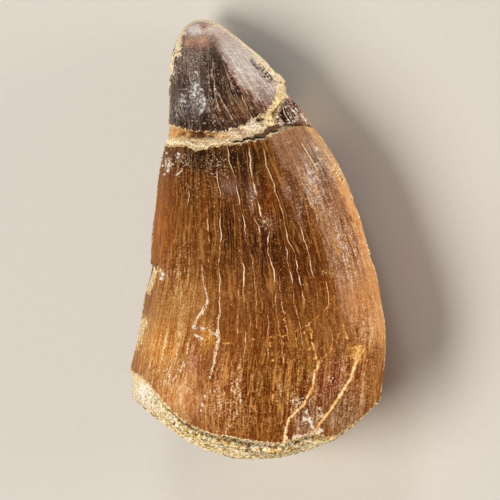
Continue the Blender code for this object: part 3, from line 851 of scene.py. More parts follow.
# Crown body: brown enamel with lengthwise cracks.
bodyLook = {
    # rows up its side, and those of a broken face as shares of the way from the middle to the rim
    "rows": 214,
    "capShares": (0.0, 0.25, 0.5, 0.72, 0.87, 0.95, 0.985),
    # the height at which columns are spaced, the least angle between cracks, half a crack's width, how
    # dark the painted shade beside it is, how far it wanders, and the spacing on the seen and the hidden
    # side
    "columns": {
        "girthHeight": 12.5, "leastTurn": 1.1, "crackHalf": 0.075, "crackShade": 0.35, "wander": 0.8,
        "seenSpacing": 0.122, "hiddenSpacing": 0.36,
    },
    # nicks in the margins, and wider dips as angle, spread and height
    "baseNick": {"size": 0.9, "depth": 0.16},
    "topNick": {"size": 0.9, "depth": -0.2, "gaps": ((93, 6, -0.1), (126, 7, -0.08))},
    # cracks from left to right, each from its lower end up: across, height and strength
    "cracks": (
        ((-5.5, 20.0, 0.5), (-5.4, 21.0, 0.9), (-5.5, 21.9, 0.7)),
        # no crack, only a guide: the growth lines fan out to the lower left
        ((-7.3, 4.0, 0.0), (-6.6, 6.0, 0.0), (-5.85, 8.0, 0.0), (-5.3, 10.0, 0.0), (-5.0, 12.0, 0.0)),
        ((-4.9, 10.9, 1.0), (-4.6, 11.4, 1.0), (-4.3, 12.0, 0.9), (-4.0, 12.8, 0.6), (-4.2, 14.1, 0.6),
         (-4.4, 15.6, 0.3)),
        ((-3.8, 15.6, 0.4), (-3.7, 17.6, 0.6), (-3.9, 19.8, 0.5)),
        ((-3.6, 6.9, 0.5), (-3.3, 8.2, 0.9), (-3.0, 9.7, 1.0), (-3.0, 11.4, 0.8), (-2.9, 13.6, 0.7),
         (-3.0, 15.6, 0.8), (-2.9, 17.6, 1.0), (-2.9, 19.8, 0.5), (-3.0, 21.3, 0.9), (-3.2, 23.0, 0.9)),
        ((-1.5, 10.1, 0.5), (-1.5, 11.3, 0.8), (-1.5, 13.5, 0.6)),
        ((-1.0, 8.3, 0.6), (-0.9, 9.8, 0.8), (-1.0, 11.1, 0.1), (-1.0, 12.7, 0.6), (-1.1, 14.4, 0.9),
         (-1.1, 15.7, 0.6)),
        ((-0.6, 10.7, 0.4), (-0.6, 11.7, 0.7), (-0.6, 12.7, 0.5)),
        ((0.0, 10.5, 0.4), (-0.1, 12.7, 0.5), (-0.4, 15.5, 0.8), (-0.9, 17.9, 0.9), (-1.4, 20.4, 1.0),
         (-1.8, 22.0, 1.0), (-2.3, 23.5, 0.9), (-2.6, 25.2, 0.5)),
        ((0.8, 7.1, 0.3), (0.9, 9.8, 0.6), (0.9, 12.2, 0.4), (0.6, 13.5, 0.1), (0.3, 14.9, 0.3),
         (0.2, 18.5, 0.8), (-0.3, 19.3, 0.7), (-0.5, 20.3, 0.6)),
        ((2.1, 7.8, 0.5), (1.7, 10.5, 0.6), (1.5, 12.7, 0.6), (1.4, 14.5, 0.7), (0.9, 16.4, 0.8),
         (0.9, 18.5, 1.0), (0.3, 19.3, 0.9), (0.0, 20.6, 0.9), (-0.3, 21.9, 0.9), (-0.9, 25.6, 0.9)),
        ((2.7, 8.2, 0.4), (2.4, 10.9, 0.7), (1.9, 13.0, 0.6), (1.8, 14.8, 0.5)),
        ((3.5, 9.1, 0.4), (3.3, 10.9, 0.6), (2.8, 12.8, 0.6), (2.6, 14.5, 0.8), (2.3, 16.4, 0.8),
         (2.1, 17.3, 0.5)),
        ((3.7, 12.0, 0.4), (3.6, 13.5, 0.8), (3.2, 14.9, 0.9), (2.8, 16.6, 1.0), (2.3, 18.0, 1.0),
         (1.9, 19.8, 1.0), (1.3, 22.0, 1.0), (0.7, 23.4, 1.0), (0.2, 25.6, 0.9)),
        ((5.1, 8.4, 0.4), (4.8, 11.1, 0.3), (4.8, 12.8, 0.6), (4.4, 14.7, 0.7), (4.0, 16.6, 0.8),
         (3.5, 18.4, 0.7), (3.2, 19.2, 0.5)),
        ((6.0, 9.5, 0.6), (5.5, 11.4, 0.6), (5.7, 12.7, 0.6), (5.4, 14.3, 0.7), (5.0, 15.3, 0.5)),
        ((6.3, 12.7, 0.4), (5.9, 15.3, 0.5), (5.3, 17.2, 0.5), (4.9, 18.1, 0.6), (4.6, 19.7, 0.7),
         (3.9, 21.3, 0.7), (3.2, 22.5, 0.4)),
        ((4.8, 22.9, 0.8), (4.3, 23.8, 1.0), (3.55, 25.0, 1.0)),
    ),
    "crackDepth": 0.05,
    # cracks on the hidden side: how many, the seed that places them, and from which angle to which.
    # Then the least and the most for their lower end, their length and their lean.
    "hiddenCracks": {
        "count": 9, "seed": 5, "from": -160.0, "to": -38.0,
        "start": (6.5, 14.0), "length": (4.0, 10.0), "lean": (-3.0, 3.0),
    },
    # ochre veins and a fine crack across: half width, strength and route
    "veins": (
        (0.09, 0.6, (
            (-4.2, 9.3), (-0.9, 9.4), (-0.3, 9.7), (2.4, 10.0), (4.0, 10.8), (5.5, 12.1), (6.3, 13.5),
        )),
        (0.14, 0.85, ((4.1, 10.9), (4.4, 9.1), (4.8, 7.7))),
        (0.1, 0.7, ((3.7, 10.2), (4.3, 8.3), (4.8, 7.7))),
        (0.2, 1.0, ((4.8, 7.7), (4.5, 7.0), (4.3, 5.8), (3.6, 4.5))),
        (0.18, 1.0, ((3.6, 4.5), (2.5, 3.5), (2.2, 2.4), (2.1, 1.4))),
        (0.09, 0.7, ((4.8, 7.7), (6.2, 9.3), (6.7, 10.8))),
        (0.2, 0.85, ((8.5, 9.0), (8.1, 8.4), (7.75, 7.8))),
        (0.7, 0.72, ((8.0, 8.9), (7.8, 8.2))),
        (0.25, 0.6, ((7.45, 9.2), (7.7, 8.2))),
        (0.22, 1.05, ((7.75, 7.9), (7.4, 6.7), (6.7, 5.6), (5.8, 4.2))),
        (0.2, 1.0, ((5.8, 4.2), (5.0, 3.2), (4.4, 2.3), (4.2, 1.7))),
        (0.2, 0.6, ((6.7, 10.8), (7.2, 9.4))),
        (0.1, 0.6, ((2.2, 12.0), (2.0, 9.6), (2.5, 7.6), (2.4, 5.0))),
        (0.1, 0.6, ((1.0, 9.4), (1.3, 7.4), (1.2, 4.6))),
        (0.09, 0.55, ((3.0, 9.9), (3.3, 7.8), (3.1, 5.6))),
        (0.09, 0.5, ((8.4, 9.6), (8.7, 7.6), (8.5, 5.8))),
    ),
    # how strongly growth lines and grain show: the least in front, the strength behind, then by place as
    # across, height, half width, half height and strength, as for crusts and pits
    "plainness": 0.38,
    "hairBehind": 0.6,
    "hairs": (
        (-7.0, 7.5, 3.5, 5.5, 0.95), (-2.0, 5.0, 4.0, 5.0, 0.85), (3.0, 5.0, 4.0, 4.5, 0.8),
        (7.0, 6.0, 3.0, 5.0, 0.8), (-6.5, 14.5, 2.2, 4.5, 0.9), (-5.5, 22.5, 3.2, 2.6, 0.55),
        (7.2, 17.0, 2.0, 4.0, 1.0), (4.9, 22.0, 2.0, 3.5, 1.0), (-7.6, 18.5, 1.2, 4.5, 0.45),
        (8.5, 10.5, 1.5, 3.5, 0.85),
    ),
    "crusts": (
        (-7.1, 23.4, 0.6, 0.9, 0.95), (-5.8, 23.6, 1.4, 0.9, 0.7), (-3.4, 23.3, 1.6, 1.1, 0.66),
        (-3.6, 21.5, 1.4, 0.8, 0.4), (-4.3, 10.3, 0.7, 0.6, 0.8), (-4.4, 9.6, 0.45, 0.45, 1.0),
        (-3.7, 10.3, 0.6, 0.8, 0.75), (-5.3, 21.5, 0.7, 0.5, 0.5), (3.3, 4.7, 0.5, 0.5, 0.9),
        (2.9, 5.0, 0.4, 0.3, 0.8), (3.9, 3.5, 0.4, 0.8, 0.9), (4.8, 3.7, 0.3, 0.8, 1.0),
        (3.6, 1.9, 1.1, 0.5, 1.0), (4.5, 2.0, 0.5, 0.5, 1.0), (5.8, 6.6, 0.5, 0.5, 0.85),
        (5.1, 5.4, 0.3, 0.6, 0.8), (5.0, 23.7, 0.3, 0.3, 1.0), (4.75, 24.6, 0.3, 0.4, 0.95),
        (2.6, 25.1, 0.35, 0.25, 0.9), (5.3, 14.9, 0.35, 0.3, 0.8), (-0.4, 20.9, 0.4, 0.9, 0.6),
        (0.8, 18.8, 0.7, 0.7, 0.6), (3.4, 19.6, 0.5, 1.1, 0.6), (4.2, 21.6, 0.9, 2.4, 0.7),
        (5.7, 20.0, 0.9, 2.5, 0.5), (7.0, 16.6, 1.0, 3.0, 0.3), (7.8, 12.6, 0.9, 2.0, 0.2),
        (2.5, 21.5, 0.5, 0.9, 0.5), (6.0, 3.2, 0.7, 0.6, 0.45), (-6.2, 12.5, 1.6, 1.4, 0.3),
        (-5.4, 3.5, 1.0, 1.5, 0.3), (2.2, 8.6, 1.6, 1.2, 0.35), (6.2, 8.0, 1.0, 1.2, 0.35),
        (8.5, 9.5, 1.2, 3.2, 0.4),
    ),
    # thick white lime: half width, strength and route
    "limes": (
        (0.14, 0.9, ((-4.35, 15.4), (-4.15, 13.8), (-3.9, 12.8), (-4.0, 12.2))),
        (0.22, 1.0, ((-4.0, 12.3), (-4.45, 11.6), (-4.8, 11.0), (-4.95, 10.6))),
        (0.12, 0.9, ((-3.05, 11.6), (-3.1, 10.2))),
        (0.26, 1.0, ((-3.1, 10.1), (-3.05, 9.6), (-3.3, 8.6))),
        (0.16, 0.9, ((-3.3, 8.6), (-3.4, 7.6), (-3.7, 6.6))),
        (0.1, 0.8, ((-5.4, 9.3), (-5.5, 8.4))),
        (0.1, 0.8, ((-5.6, 7.8), (-6.1, 7.1), (-6.6, 6.4))),
        (0.1, 0.7, ((-4.0, 5.6), (-4.4, 4.0))),
        (0.1, 0.9, ((-6.35, 22.55), (-5.95, 22.85))),
        (0.09, 0.9, ((4.8, 22.9), (4.3, 23.8), (3.55, 25.0))),
        (0.14, 0.8, ((3.2, 2.6), (3.9, 4.0), (4.2, 5.0))),
        (0.16, 0.9, ((4.9, 4.4), (5.2, 3.4), (4.7, 2.6))),
        (0.2, 0.9, ((2.3, 1.9), (2.25, 2.9))),
        (0.13, 0.9, ((3.1, 4.9), (3.7, 5.1))),
        (0.16, 1.0, ((3.95, 3.9), (4.2, 3.3), (4.4, 2.7))),
        (0.3, 1.0, ((4.3, 2.3), (5.0, 2.5))),
        (0.2, 0.9, ((2.7, 1.9), (3.6, 2.05))),
    ),
    # bare, pale edges: half width, strength and route, then the size of the noise that bends them and
    # how far across and along, and at which angles they fade behind the outline
    "bareEdges": (
        (0.4, 0.95, ((-8.0, 15.0), (-8.4, 14.2), (-8.6, 13.5))),
        (0.5, 0.95, ((-9.0, 11.0), (-9.4, 10.0), (-9.7, 9.2))),
        (0.3, 0.9, ((6.35, 23.0), (6.75, 22.2))),
    ),
    "edgeBend": (0.7, 0.35, 0.45),
    "edgeFade": (151, 160),
    # pale rims: their widths at the top and at the base, what the one at the base gains on the left,
    # and where the one at the top turns cream. Then those along the two edges, worn pale and partly a
    # painted rim light, as angle, spread and strength, and the sizes of their patches.
    "rims": {
        "top": 0.2, "creamTop": (-1.2, -3.2), "base": 0.18, "baseGain": 0.16, "baseGains": (-5.5, -7.5),
        "left": (150.0, 6.5, 0.75), "right": (-15.5, 5.5, 0.95), "patches": 0.8, "rightPatches": 1.5,
    },
    # where the edges are worn ragged: angle, spread and strength
    "wornEdges": ((-12, 13, 1.0), (152, 12, 1.7), (180, 6, 1.0), (-180, 6, 1.0)),
    # crumbs that stand on the surface: across, height, half width, half height and rise
    "crumbs": (
        (-7.35, 14.75, 0.13, 0.2, 0.22), (-7.45, 14.4, 0.17, 0.16, 0.2), (-7.6, 23.8, 0.2, 0.14, 0.2),
        (-7.0, 22.9, 0.12, 0.16, 0.12), (-7.2, 24.3, 0.1, 0.08, 0.1), (-7.0, 23.7, 0.09, 0.07, 0.08),
        (-7.45, 23.3, 0.08, 0.1, 0.1), (-6.7, 23.4, 0.1, 0.07, 0.08), (-6.3, 23.9, 0.08, 0.08, 0.08),
        (-7.3, 22.6, 0.1, 0.07, 0.08), (-6.2, 24.2, 0.1, 0.1, 0.1), (-4.25, 10.5, 0.12, 0.1, 0.08),
        (-4.7, 9.9, 0.12, 0.12, 0.08), (4.7, 23.4, 0.14, 0.1, 0.08), (4.6, 2.3, 0.4, 0.3, 0.12),
        (9.35, 4.6, 0.14, 0.1, 0.1),
    ),
    "crumbColour": "#f3ece0",
    # how far their colour shows, how far they stay free of crust, and how strong the crust is behind
    "crumbSeen": 1.0,
    "crumbClean": 1.0,
    "crustBehind": 0.0,
    # swells and unevenness as size, depth and octaves, growth ribs as width, length and depth, then
    # ragged edges and pits as size and depth
    "swells": ((3.2, 0.06, 1), (0.9, 0.03, 3)),
    "rib": (0.3, 3.5, 0.014),
    "raggedEdge": (0.42, 0.15),
    "pits": (0.34, 0.16),
    "pitted": (
        (-6.2, 24.0, 1.8, 1.2, 1.0), (-4.0, 24.4, 1.5, 0.7, 0.7), (4.2, 3.2, 1.2, 0.9, 0.6),
        (-8.3, 15.0, 0.5, 1.0, 1.0),
    ),
    # stepped notches in the edges: angle, spread, upper and lower height, depth
    "notches": (
        (152.0, 13.0, 15.45, 13.4, 0.42), (-20.0, 10.0, 20.6, 19.6, 0.14),
        (-20.0, 10.0, 16.2, 15.2, 0.14),
    ),
    # noise that makes the borders of the colours uneven: size and reach
    "tintRun": (0.45, 0.22),
    "colours": {
        "ground": "#7f4a1c",
        "bands": (
            # the paler right zone: partly its own paler colour, partly a painted sheen
            ("#a5795b", 0.3, (
                (10.0, 7.4, 0.0), (11.5, 6.9, 0.9), (13.5, 6.3, 0.95), (15.7, 5.7, 0.95), (17.8, 5.1, 0.95),
                (20.0, 4.4, 0.95), (22.4, 3.0, 0.9), (23.2, 1.9, 0.9), (25.6, 0.9, 0.9), (27.0, 0.6, 0.9),
            )),
            ("#e6ad73", 0.22, (
                (8.0, 9.6, 0.0), (10.0, 9.4, 0.7), (13.0, 9.0, 0.8), (16.0, 8.3, 0.8),
                (18.0, 7.8, 0.85), (20.0, 7.1, 0.9), (22.0, 6.2, 0.9), (24.0, 5.2, 0.9),
                (25.6, 4.3, 0.9), (27.0, 3.5, 0.9),
            )),
        ),
        "zones": (
            ("#2c1c13", -4.6, 24.0, 3.4, 1.6, 0.95),
            ("#311a07", -1.0, 23.6, 2.2, 1.8, 0.95),
            ("#4c270a", -5.8, 21.0, 1.6, 1.6, 0.85),
            ("#8f4a00", -7.7, 18.4, 1.2, 4.2, 1.0),
            ("#72441a", -5.2, 18.0, 1.2, 3.4, 0.7),
            ("#441f04", -2.4, 18.5, 1.7, 4.0, 0.9),
            ("#371300", 0.8, 17.8, 2.4, 4.6, 0.92),
            ("#502304", 3.3, 15.6, 2.0, 3.4, 0.85),
            ("#7a3a06", 1.0, 20.0, 0.7, 1.6, 0.6),
            ("#7b4109", 5.5, 13.6, 0.6, 1.4, 0.7),
            ("#7f6155", -2.2, 21.6, 0.8, 0.6, 0.6),
            ("#8f7061", -0.4, 21.0, 0.35, 1.0, 0.7),
            ("#7d5a48", 0.8, 18.7, 0.6, 0.6, 0.5),
            ("#84644f", 3.4, 19.6, 0.4, 1.2, 0.6),
            ("#83655a", 2.5, 21.5, 0.4, 0.8, 0.6),
            ("#a89284", 4.8, 23.4, 1.2, 2.2, 0.8),
            ("#b47f44", -5.9, 12.6, 2.2, 2.0, 0.85),
            ("#d8994d", -7.6, 9.0, 2.0, 2.4, 0.9),
            ("#cf955c", -6.2, 5.2, 2.4, 2.2, 0.9),
            ("#b8705a", -4.9, 8.3, 0.5, 1.2, 0.5),
            ("#96592a", -2.6, 6.4, 1.8, 3.6, 0.8),
            ("#6f3e12", 0.6, 6.8, 2.2, 3.8, 0.8),
            ("#7b4a18", 3.6, 8.4, 1.6, 2.2, 0.7),
            ("#8a4a34", 5.9, 6.3, 1.1, 1.6, 0.85),
            ("#7e5a3c", 7.6, 5.0, 1.0, 1.8, 0.6),
            ("#a98f7a", 3.9, 3.3, 0.9, 1.1, 0.4),
            ("#d0903f", 7.95, 8.6, 0.45, 0.5, 0.85),
            ("#a3652f", -4.4, 10.3, 1.0, 0.9, 0.6),
            ("#c98b33", -3.9, 9.9, 0.7, 0.8, 0.7),
            ("#c78a54", 8.2, 12.6, 1.4, 2.6, 0.9),
            ("#dba267", 9.0, 10.2, 0.5, 1.2, 0.6),
            ("#a86c38", 8.4, 6.4, 1.2, 2.2, 0.8),
            ("#94704c", 6.7, 3.6, 1.7, 1.4, 0.85),
        ),
        "behind": (
            ("#7a4a22", -100, 14, 45, 8, 0.8),
            ("#9c6c3d", -60, 7, 30, 3.5, 0.7),
            ("#5f3d20", -110, 23, 60, 2.5, 0.7),
            ("#a37243", -150, 10, 18, 5, 0.6),
        ),
    },
    "enamel": {
        # width and length of a pattern along the growth, and its detail
        "streaks": {
            "broad": (1.1, 8.0, 3.0), "fine": (0.3, 4.0, 2.0), "thread": (0.11, 0.9, 2.0),
            "hairs": (0.55, 9.0, 1.0),
            "breaks": (0.4, 1.6, 2.0),
        },
        # size of a grain pattern, and its detail
        "grains": {"specks": (0.13, 1.0), "clumps": (0.4, 4.0), "rimGrains": (0.2, 2.0)},
        # how strongly each pattern lightens and darkens, then the strength of the marks they make. The
        # higher a gate, the fewer marks.
        "shades": {"broad": 0.2, "fine": 0.34, "thread": 0.28, "specks": 0.42, "clumps": 0.24},
        "warmth": 0.15,
        "warmColour": "#b8681c",
        "dashGate": 0.61,
        "dashShow": 0.36,
        "dashColour": "#dda765",
        "hairWidth": 0.028,
        "hairColour": "#d99a50",
        "speckGate": 0.72,
        "speckShow": 0.75,
        "crustSpecks": 0.2,
        "speckColour": "#e6ccaa",
        "clumpGate": 0.84,
        "clumpShow": 0.9,
        "clumpColour": "#efe5d2",
        "veinColours": ((0.25, "#a8652a"), (0.5, "#d99a4e"), (0.8, "#f3d196"), (1.0, "#fff0cc")),
        "crackColours": ((0.1, "#7c3f18"), (0.36, "#c58650"), (0.6, "#eed3aa"), (0.85, "#fcf1de")),
        # dark dirt in open cracks and painted shade beside cracks
        "dirtAndShadeColour": "#2a1508",
        "rimColours": ((0.36, "#96662c"), (0.47, "#dfb877"), (0.6, "#fbedca")),
        "roughness": (0.4, 0.55),  # where it is polished, and where it is etched
        "specular": 0.04,
        "bump": 0.2,
    },
}


# Routes of (angle, height, strength) for layCracks: hidden cracks by a seed, then those seen from right
# to left, between two edges that hold the columns straight.
def crackRoutes(look):
    routes = []
    hidden = look["hiddenCracks"]
    pick = np.random.default_rng(hidden["seed"])
    span = hidden["to"] - hidden["from"]
    for number in range(hidden["count"]):
        angle = hidden["from"] + span * (number + pick.uniform(0.2, 0.8)) / hidden["count"]
        start, length, lean = (pick.uniform(*hidden[key]) for key in ("start", "length", "lean"))
        middle = (angle + lean / 2, start + length / 2, 0.9)
        routes.append([(angle, start, 0.5), middle, (angle + lean, start + length, 0.5)])
    routes.append([(0.0, 10.0, 0.0), (0.0, 20.0, 0.0)])
    for crack in reversed(look["cracks"]):
        routes.append([(angleSeen(across, height), height, strength) for across, height, strength in crack])
    routes.append([(140.0, 10.0, 0.0), (140.0, 20.0, 0.0)])
    return routes


# The rows of a broken face, from its middle to near its rim, and their heights.
def faceRows(angle, rim, middle, shares):
    share = np.array(shares)[:, None] + 0 * angle
    height = rim * share**2 + middle * (1 - share**2)
    return placeOn(angle + 0 * share, height, share), height


# Bare, pale enamel from 0 to 1: along the two broken margins, on the two edges, where it is partly a
# painted rim light, and on the bare lines.
def bodyRim(look, skin):
    angle, across, height, seen = skin["angle"], skin["across"], skin["height"], skin["seen"]
    rims = look["rims"]
    baseWidth = rims["base"] + rims["baseGain"] * softStep(across, *rims["baseGains"])
    atBase = np.clip(1 - (height - height[:1]) / baseWidth, 0, 1)
    creamTop = softStep(across, *rims["creamTop"]) * seen + 0.5 * (1 - seen)
    atTop = np.clip(1 - (height[-1:] - height) / rims["top"], 0, 1) * (0.5 + 0.5 * creamTop)
    left, right = bells(angle, [rims["left"]]), bells(angle, [rims["right"]])
    right = right * patchesOver(skin["plain"], rims["rightPatches"], 2)
    edges = np.maximum(left, right) * patchesOver(skin["plain"], rims["patches"])
    bare = np.clip(2 * bareLines(look, skin), 0, 1) * seen * (1 - softStep(angle, *look["edgeFade"]))
    return np.maximum(np.maximum(atBase + atTop, edges), bare)


def makeBody(look):
    columns = layColumns(crackRoutes(look), look["columns"])
    low = raggedMargin(margins["base"], look["baseNick"])
    high = raggedMargin(margins["bodyTop"], look["topNick"])
    skin = plainSkin(columns, np.linspace(0, 1, look["rows"] + 1), low, high)
    angle, height = skin["angle"], skin["height"]
    skin["nearEdge"] = bells(angle, look["wornEdges"])
    inward, crumb = skinRelief(look, columns, skin)
    side = placeOn(angle, height, inward=inward)
    shares = look["capShares"]
    below, belowHeight = faceRows(angle[:1], height[:1], margins["hollow"], shares)
    above, aboveHeight = faceRows(angle[-1:], height[-1:], margins["bodyTopMiddle"], shares[::-1])
    places = np.concatenate([below, side, above])
    places[..., 2] = np.maximum(places[..., 2], 0)  # it rests on its flat
    heights = np.concatenate([belowHeight, height, aboveHeight])
    marks = enamelMarks(look, skin, crumb, bodyRim(look, skin))
    marks = overFaces(marks, len(shares), len(shares), 1.0)
    return weave("crownBody", places, columns["growth"], heights, marks)


print("crown body")
body = makeBody(bodyLook)
dress(body, "crown_body", fossilEnamel("ironStainedEnamel", bodyLook["enamel"]))


# Crown tip: darker, greyer enamel with a pale worn point, crusted on its left.
tipLook = {
    "rows": 118,
    "capShares": (0.0, 0.3, 0.6, 0.85, 0.96),
    "toPoint": 1.35,
    "columns": {
        "girthHeight": 27.5, "leastTurn": 2.0, "crackHalf": 0.07, "crackShade": 0.3, "wander": 1.4,
        "seenSpacing": 0.095, "hiddenSpacing": 0.2,
    },
    "lowNick": {"size": 0.6, "depth": 0.28},
    "cracks": (
        ((-1.5, 26.3, -0.3), (-2.0, 27.3, -0.7), (-2.8, 28.9, -1.0), (-3.1, 30.5, -1.0),
         (-3.5, 32.9, -0.3)),
        ((-0.4, 27.0, 0.9), (-0.8, 28.0, 1.0), (-1.2, 28.9, 0.8)),
    ),
    "crackDepth": 0.07,
    # these end below the tip, so that they only keep its hidden columns straight
    "hiddenCracks": {**bodyLook["hiddenCracks"], "count": 4, "seed": 8, "from": -150.0, "to": -50.0},
    "veins": (
        (0.09, 0.8, ((-3.0, 28.9), (-2.7, 28.2), (-2.3, 27.6), (-1.7, 26.5))),
    ),
    "plainness": 0.35,
    "hairBehind": 0.5,
    "hairs": ((-3.4, 29.5, 0.8, 4.0, 0.8), (-1.6, 31.5, 1.3, 3.5, 1.0), (0.2, 29.6, 1.5, 2.5, 1.0)),
    "crusts": (
        (-5.0, 29.3, 0.7, 1.5, 0.8), (-4.4, 28.3, 0.5, 1.1, 0.85), (-5.9, 28.4, 0.35, 0.9, 0.85),
        (-6.6, 30.8, 0.4, 1.2, 0.65), (-6.4, 27.5, 0.5, 0.8, 0.6), (-3.9, 27.2, 1.0, 0.7, 0.45),
        (0.5, 30.5, 0.4, 0.7, 0.7), (-5.0, 31.9, 1.2, 1.0, 0.5), (-0.4, 32.2, 0.5, 0.6, 0.5),
        (-5.1, 34.0, 1.0, 0.6, 0.8), (1.0, 29.3, 0.4, 0.5, 0.5), (-3.4, 33.7, 0.9, 0.7, 0.7),
    ),
    "limes": ((0.1, 0.8, ((-4.3, 29.0), (-4.1, 28.2), (-4.5, 27.4))),),
    "crumbs": (
        (-2.05, 26.15, 0.2, 0.14, 0.14), (-5.0, 28.9, 0.14, 0.14, 0.06), (-4.2, 28.5, 0.12, 0.12, 0.06),
        (0.65, 30.7, 0.12, 0.1, 0.06), (-4.4, 29.3, 0.16, 0.08, 0.06), (-0.9, 32.7, 0.1, 0.1, 0.06),
        (-5.0, 34.15, 0.34, 0.2, 0.03), (-4.5, 33.95, 0.16, 0.2, 0.03), (-5.7, 33.8, 0.14, 0.16, 0.03),
        (-3.7, 34.2, 0.2, 0.1, 0.03), (1.95, 30.3, 0.45, 0.42, 0.3),
    ),
    "crumbColour": "#f2ece2",
    "crumbSeen": 0.8,
    "crumbClean": 0.0,
    "crustBehind": 0.3,
    "swells": ((2.2, 0.05, 1), (0.8, 0.03, 3)),
    "rib": (0.28, 4.0, 0.02),
    "raggedEdge": (0.4, 0.15),
    "pits": (0.36, 0.14),
    "pitted": ((-5.4, 28.6, 1.6, 2.6, 1.0), (-6.5, 31.5, 0.7, 1.5, 1.0), (0.8, 30.5, 0.6, 1.2, 1.0)),
    "notches": (),
    # bare, pale matrix along the two edges: half width, strength and route
    "bareEdges": (
        (0.55, 0.95, ((-3.6, 34.9), (-2.4, 34.3), (-1.2, 33.35), (-0.2, 32.4))),
        (0.95, 0.95, ((0.1, 32.3), (1.1, 31.2), (2.1, 30.1))),
        (0.42, 0.95, ((-3.4, 34.95), (-4.2, 35.1), (-4.7, 35.0), (-5.6, 34.5), (-6.2, 33.8))),
        (0.55, 0.85, ((-6.3, 33.5), (-6.4, 32.2))),
        (0.4, 0.9, ((-6.75, 32.1), (-6.95, 30.6))),
        (0.2, 0.8, ((-7.05, 30.4), (-7.1, 28.5), (-7.15, 26.6))),
    ),
    "edgeBend": (0.5, 0.16, 0.3),
    "edgeFade": (148, 157),
    # from which height to which the bare edges go on round the point, it is bare behind, and bare all round
    "roundPoint": (33.8, 34.6),
    "bareBehind": (33.0, 34.6),
    "barePoint": (34.6, 34.9),
    "lowRim": 0.16,
    "wornEdges": ((-14, 16, 1.0), (152, 14, 1.0)),
    "pointFade": 1.2,
    "tintRun": (0.35, 0.16),
    "colours": {
        "ground": "#3b210f",
        "bands": (
            # painted sheen on the right facet: dimmer and pinkish brown below, brightest along the ridge
            ("#8f6653", 0.3, (
                (26.0, 1.6, 0.0), (27.0, 0.5, 0.5), (28.0, -0.3, 0.8), (28.9, -1.0, 0.9),
                (29.8, -1.8, 0.95), (31.0, -2.4, 0.95), (32.6, -3.2, 0.95), (33.6, -3.35, 0.8),
                (34.4, -3.6, 0.5),
            )),
            ("#dcd2cd", 0.45, (
                (27.6, 0.9, 0.0), (28.6, -0.1, 0.4), (29.8, -1.3, 0.7), (31.0, -2.0, 0.9),
                (32.6, -2.8, 0.95), (33.8, -3.2, 0.8),
            )),
        ),
        "zones": (
            ("#322013", -5.6, 27.6, 1.6, 1.6, 0.8),
            ("#8f8a89", -4.9, 28.9, 0.7, 1.6, 0.6),
            ("#7d7672", -6.0, 28.2, 0.4, 0.9, 0.45),
            ("#8a796d", -5.2, 31.7, 1.2, 1.2, 0.75),
            ("#2e1a0d", -3.45, 30.6, 0.26, 2.6, 0.85),
            ("#43250f", -2.9, 28.4, 0.5, 1.2, 0.7),
            ("#6f4627", -1.3, 27.6, 1.1, 1.0, 0.85),
            ("#3c2f28", -0.4, 31.55, 0.2, 0.16, 0.85),
            ("#2e231c", -0.1, 31.3, 0.22, 0.16, 0.95),
            ("#2e231c", 0.2, 31.05, 0.22, 0.18, 0.95),
            # dark along the bare right edge
            *(("#2e231c", 0.35 + 0.17 * step, 30.9 - 0.17 * step, 0.25, 0.2, 1.0) for step in range(6)),
            ("#6f4a3a", 0.9, 28.2, 0.4, 0.6, 0.5),
            ("#c9b3a4", -2.6, 33.6, 0.8, 0.6, 0.8),
            ("#c8917a", -4.6, 33.2, 1.0, 0.6, 0.85),
            ("#ffdcc8", -4.6, 34.2, 1.3, 0.5, 0.9),
            # the pale worn point, brightened further as painted light where the lamps light it dimly
            ("#ffffff", -5.0, 34.15, 0.5, 0.35, 0.95),
            ("#f6dccb", -3.4, 34.2, 0.6, 0.35, 0.85),
            ("#e0b080", -5.5, 33.1, 0.25, 0.35, 0.7),
            ("#e3b98c", -4.3, 33.3, 0.2, 0.3, 0.7),
            ("#7a2812", -4.25, 34.35, 0.26, 0.2, 1.0),
            ("#8c3a20", -5.9, 33.7, 0.2, 0.15, 0.8),
        ),
        "behind": (("#6f5a4c", -90, 29, 60, 3, 0.6), ("#c9ac90", -90, 34, 90, 0.9, 0.8)),
    },
    "enamel": dict(
        bodyLook["enamel"],
        grains={"specks": (0.17, 1.0), "clumps": (0.5, 2.5), "rimGrains": (0.24, 2.0)},
        streaks={
            "broad": (0.9, 6.0, 3.0), "fine": (0.2, 2.2, 2.0), "thread": (0.1, 0.5, 2.0),
            "hairs": (0.5, 6.0, 1.0),
            "breaks": (0.4, 1.2, 2.0),
        },
        shades={"broad": 0.15, "fine": 0.5, "thread": 0.3, "specks": 0.4, "clumps": 0.35},
        warmth=0.12,
        warmColour="#a5765c",
        dashShow=0.3,
        dashColour="#cdb9a8",
        hairColour="#cdb6a2",
        speckGate=0.7,
        speckColour="#e8ddcf",
        clumpGate=0.82,
        clumpColour="#cfd1d4",
        crackColours=((0.1, "#6e4630"), (0.36, "#b98a6c"), (0.6, "#e6cdb2"), (0.85, "#f8ecdd")),
        veinColours=((0.35, "#8b6a55"), (0.7, "#c8a78e"), (1.0, "#e9d2ba")),
        rimColours=((0.3, "#a46a2c"), (0.38, "#eecb8c"), (0.5, "#fff2d2")),
        roughness=(0.32, 0.46),
        specular=0.16,
    ),
}


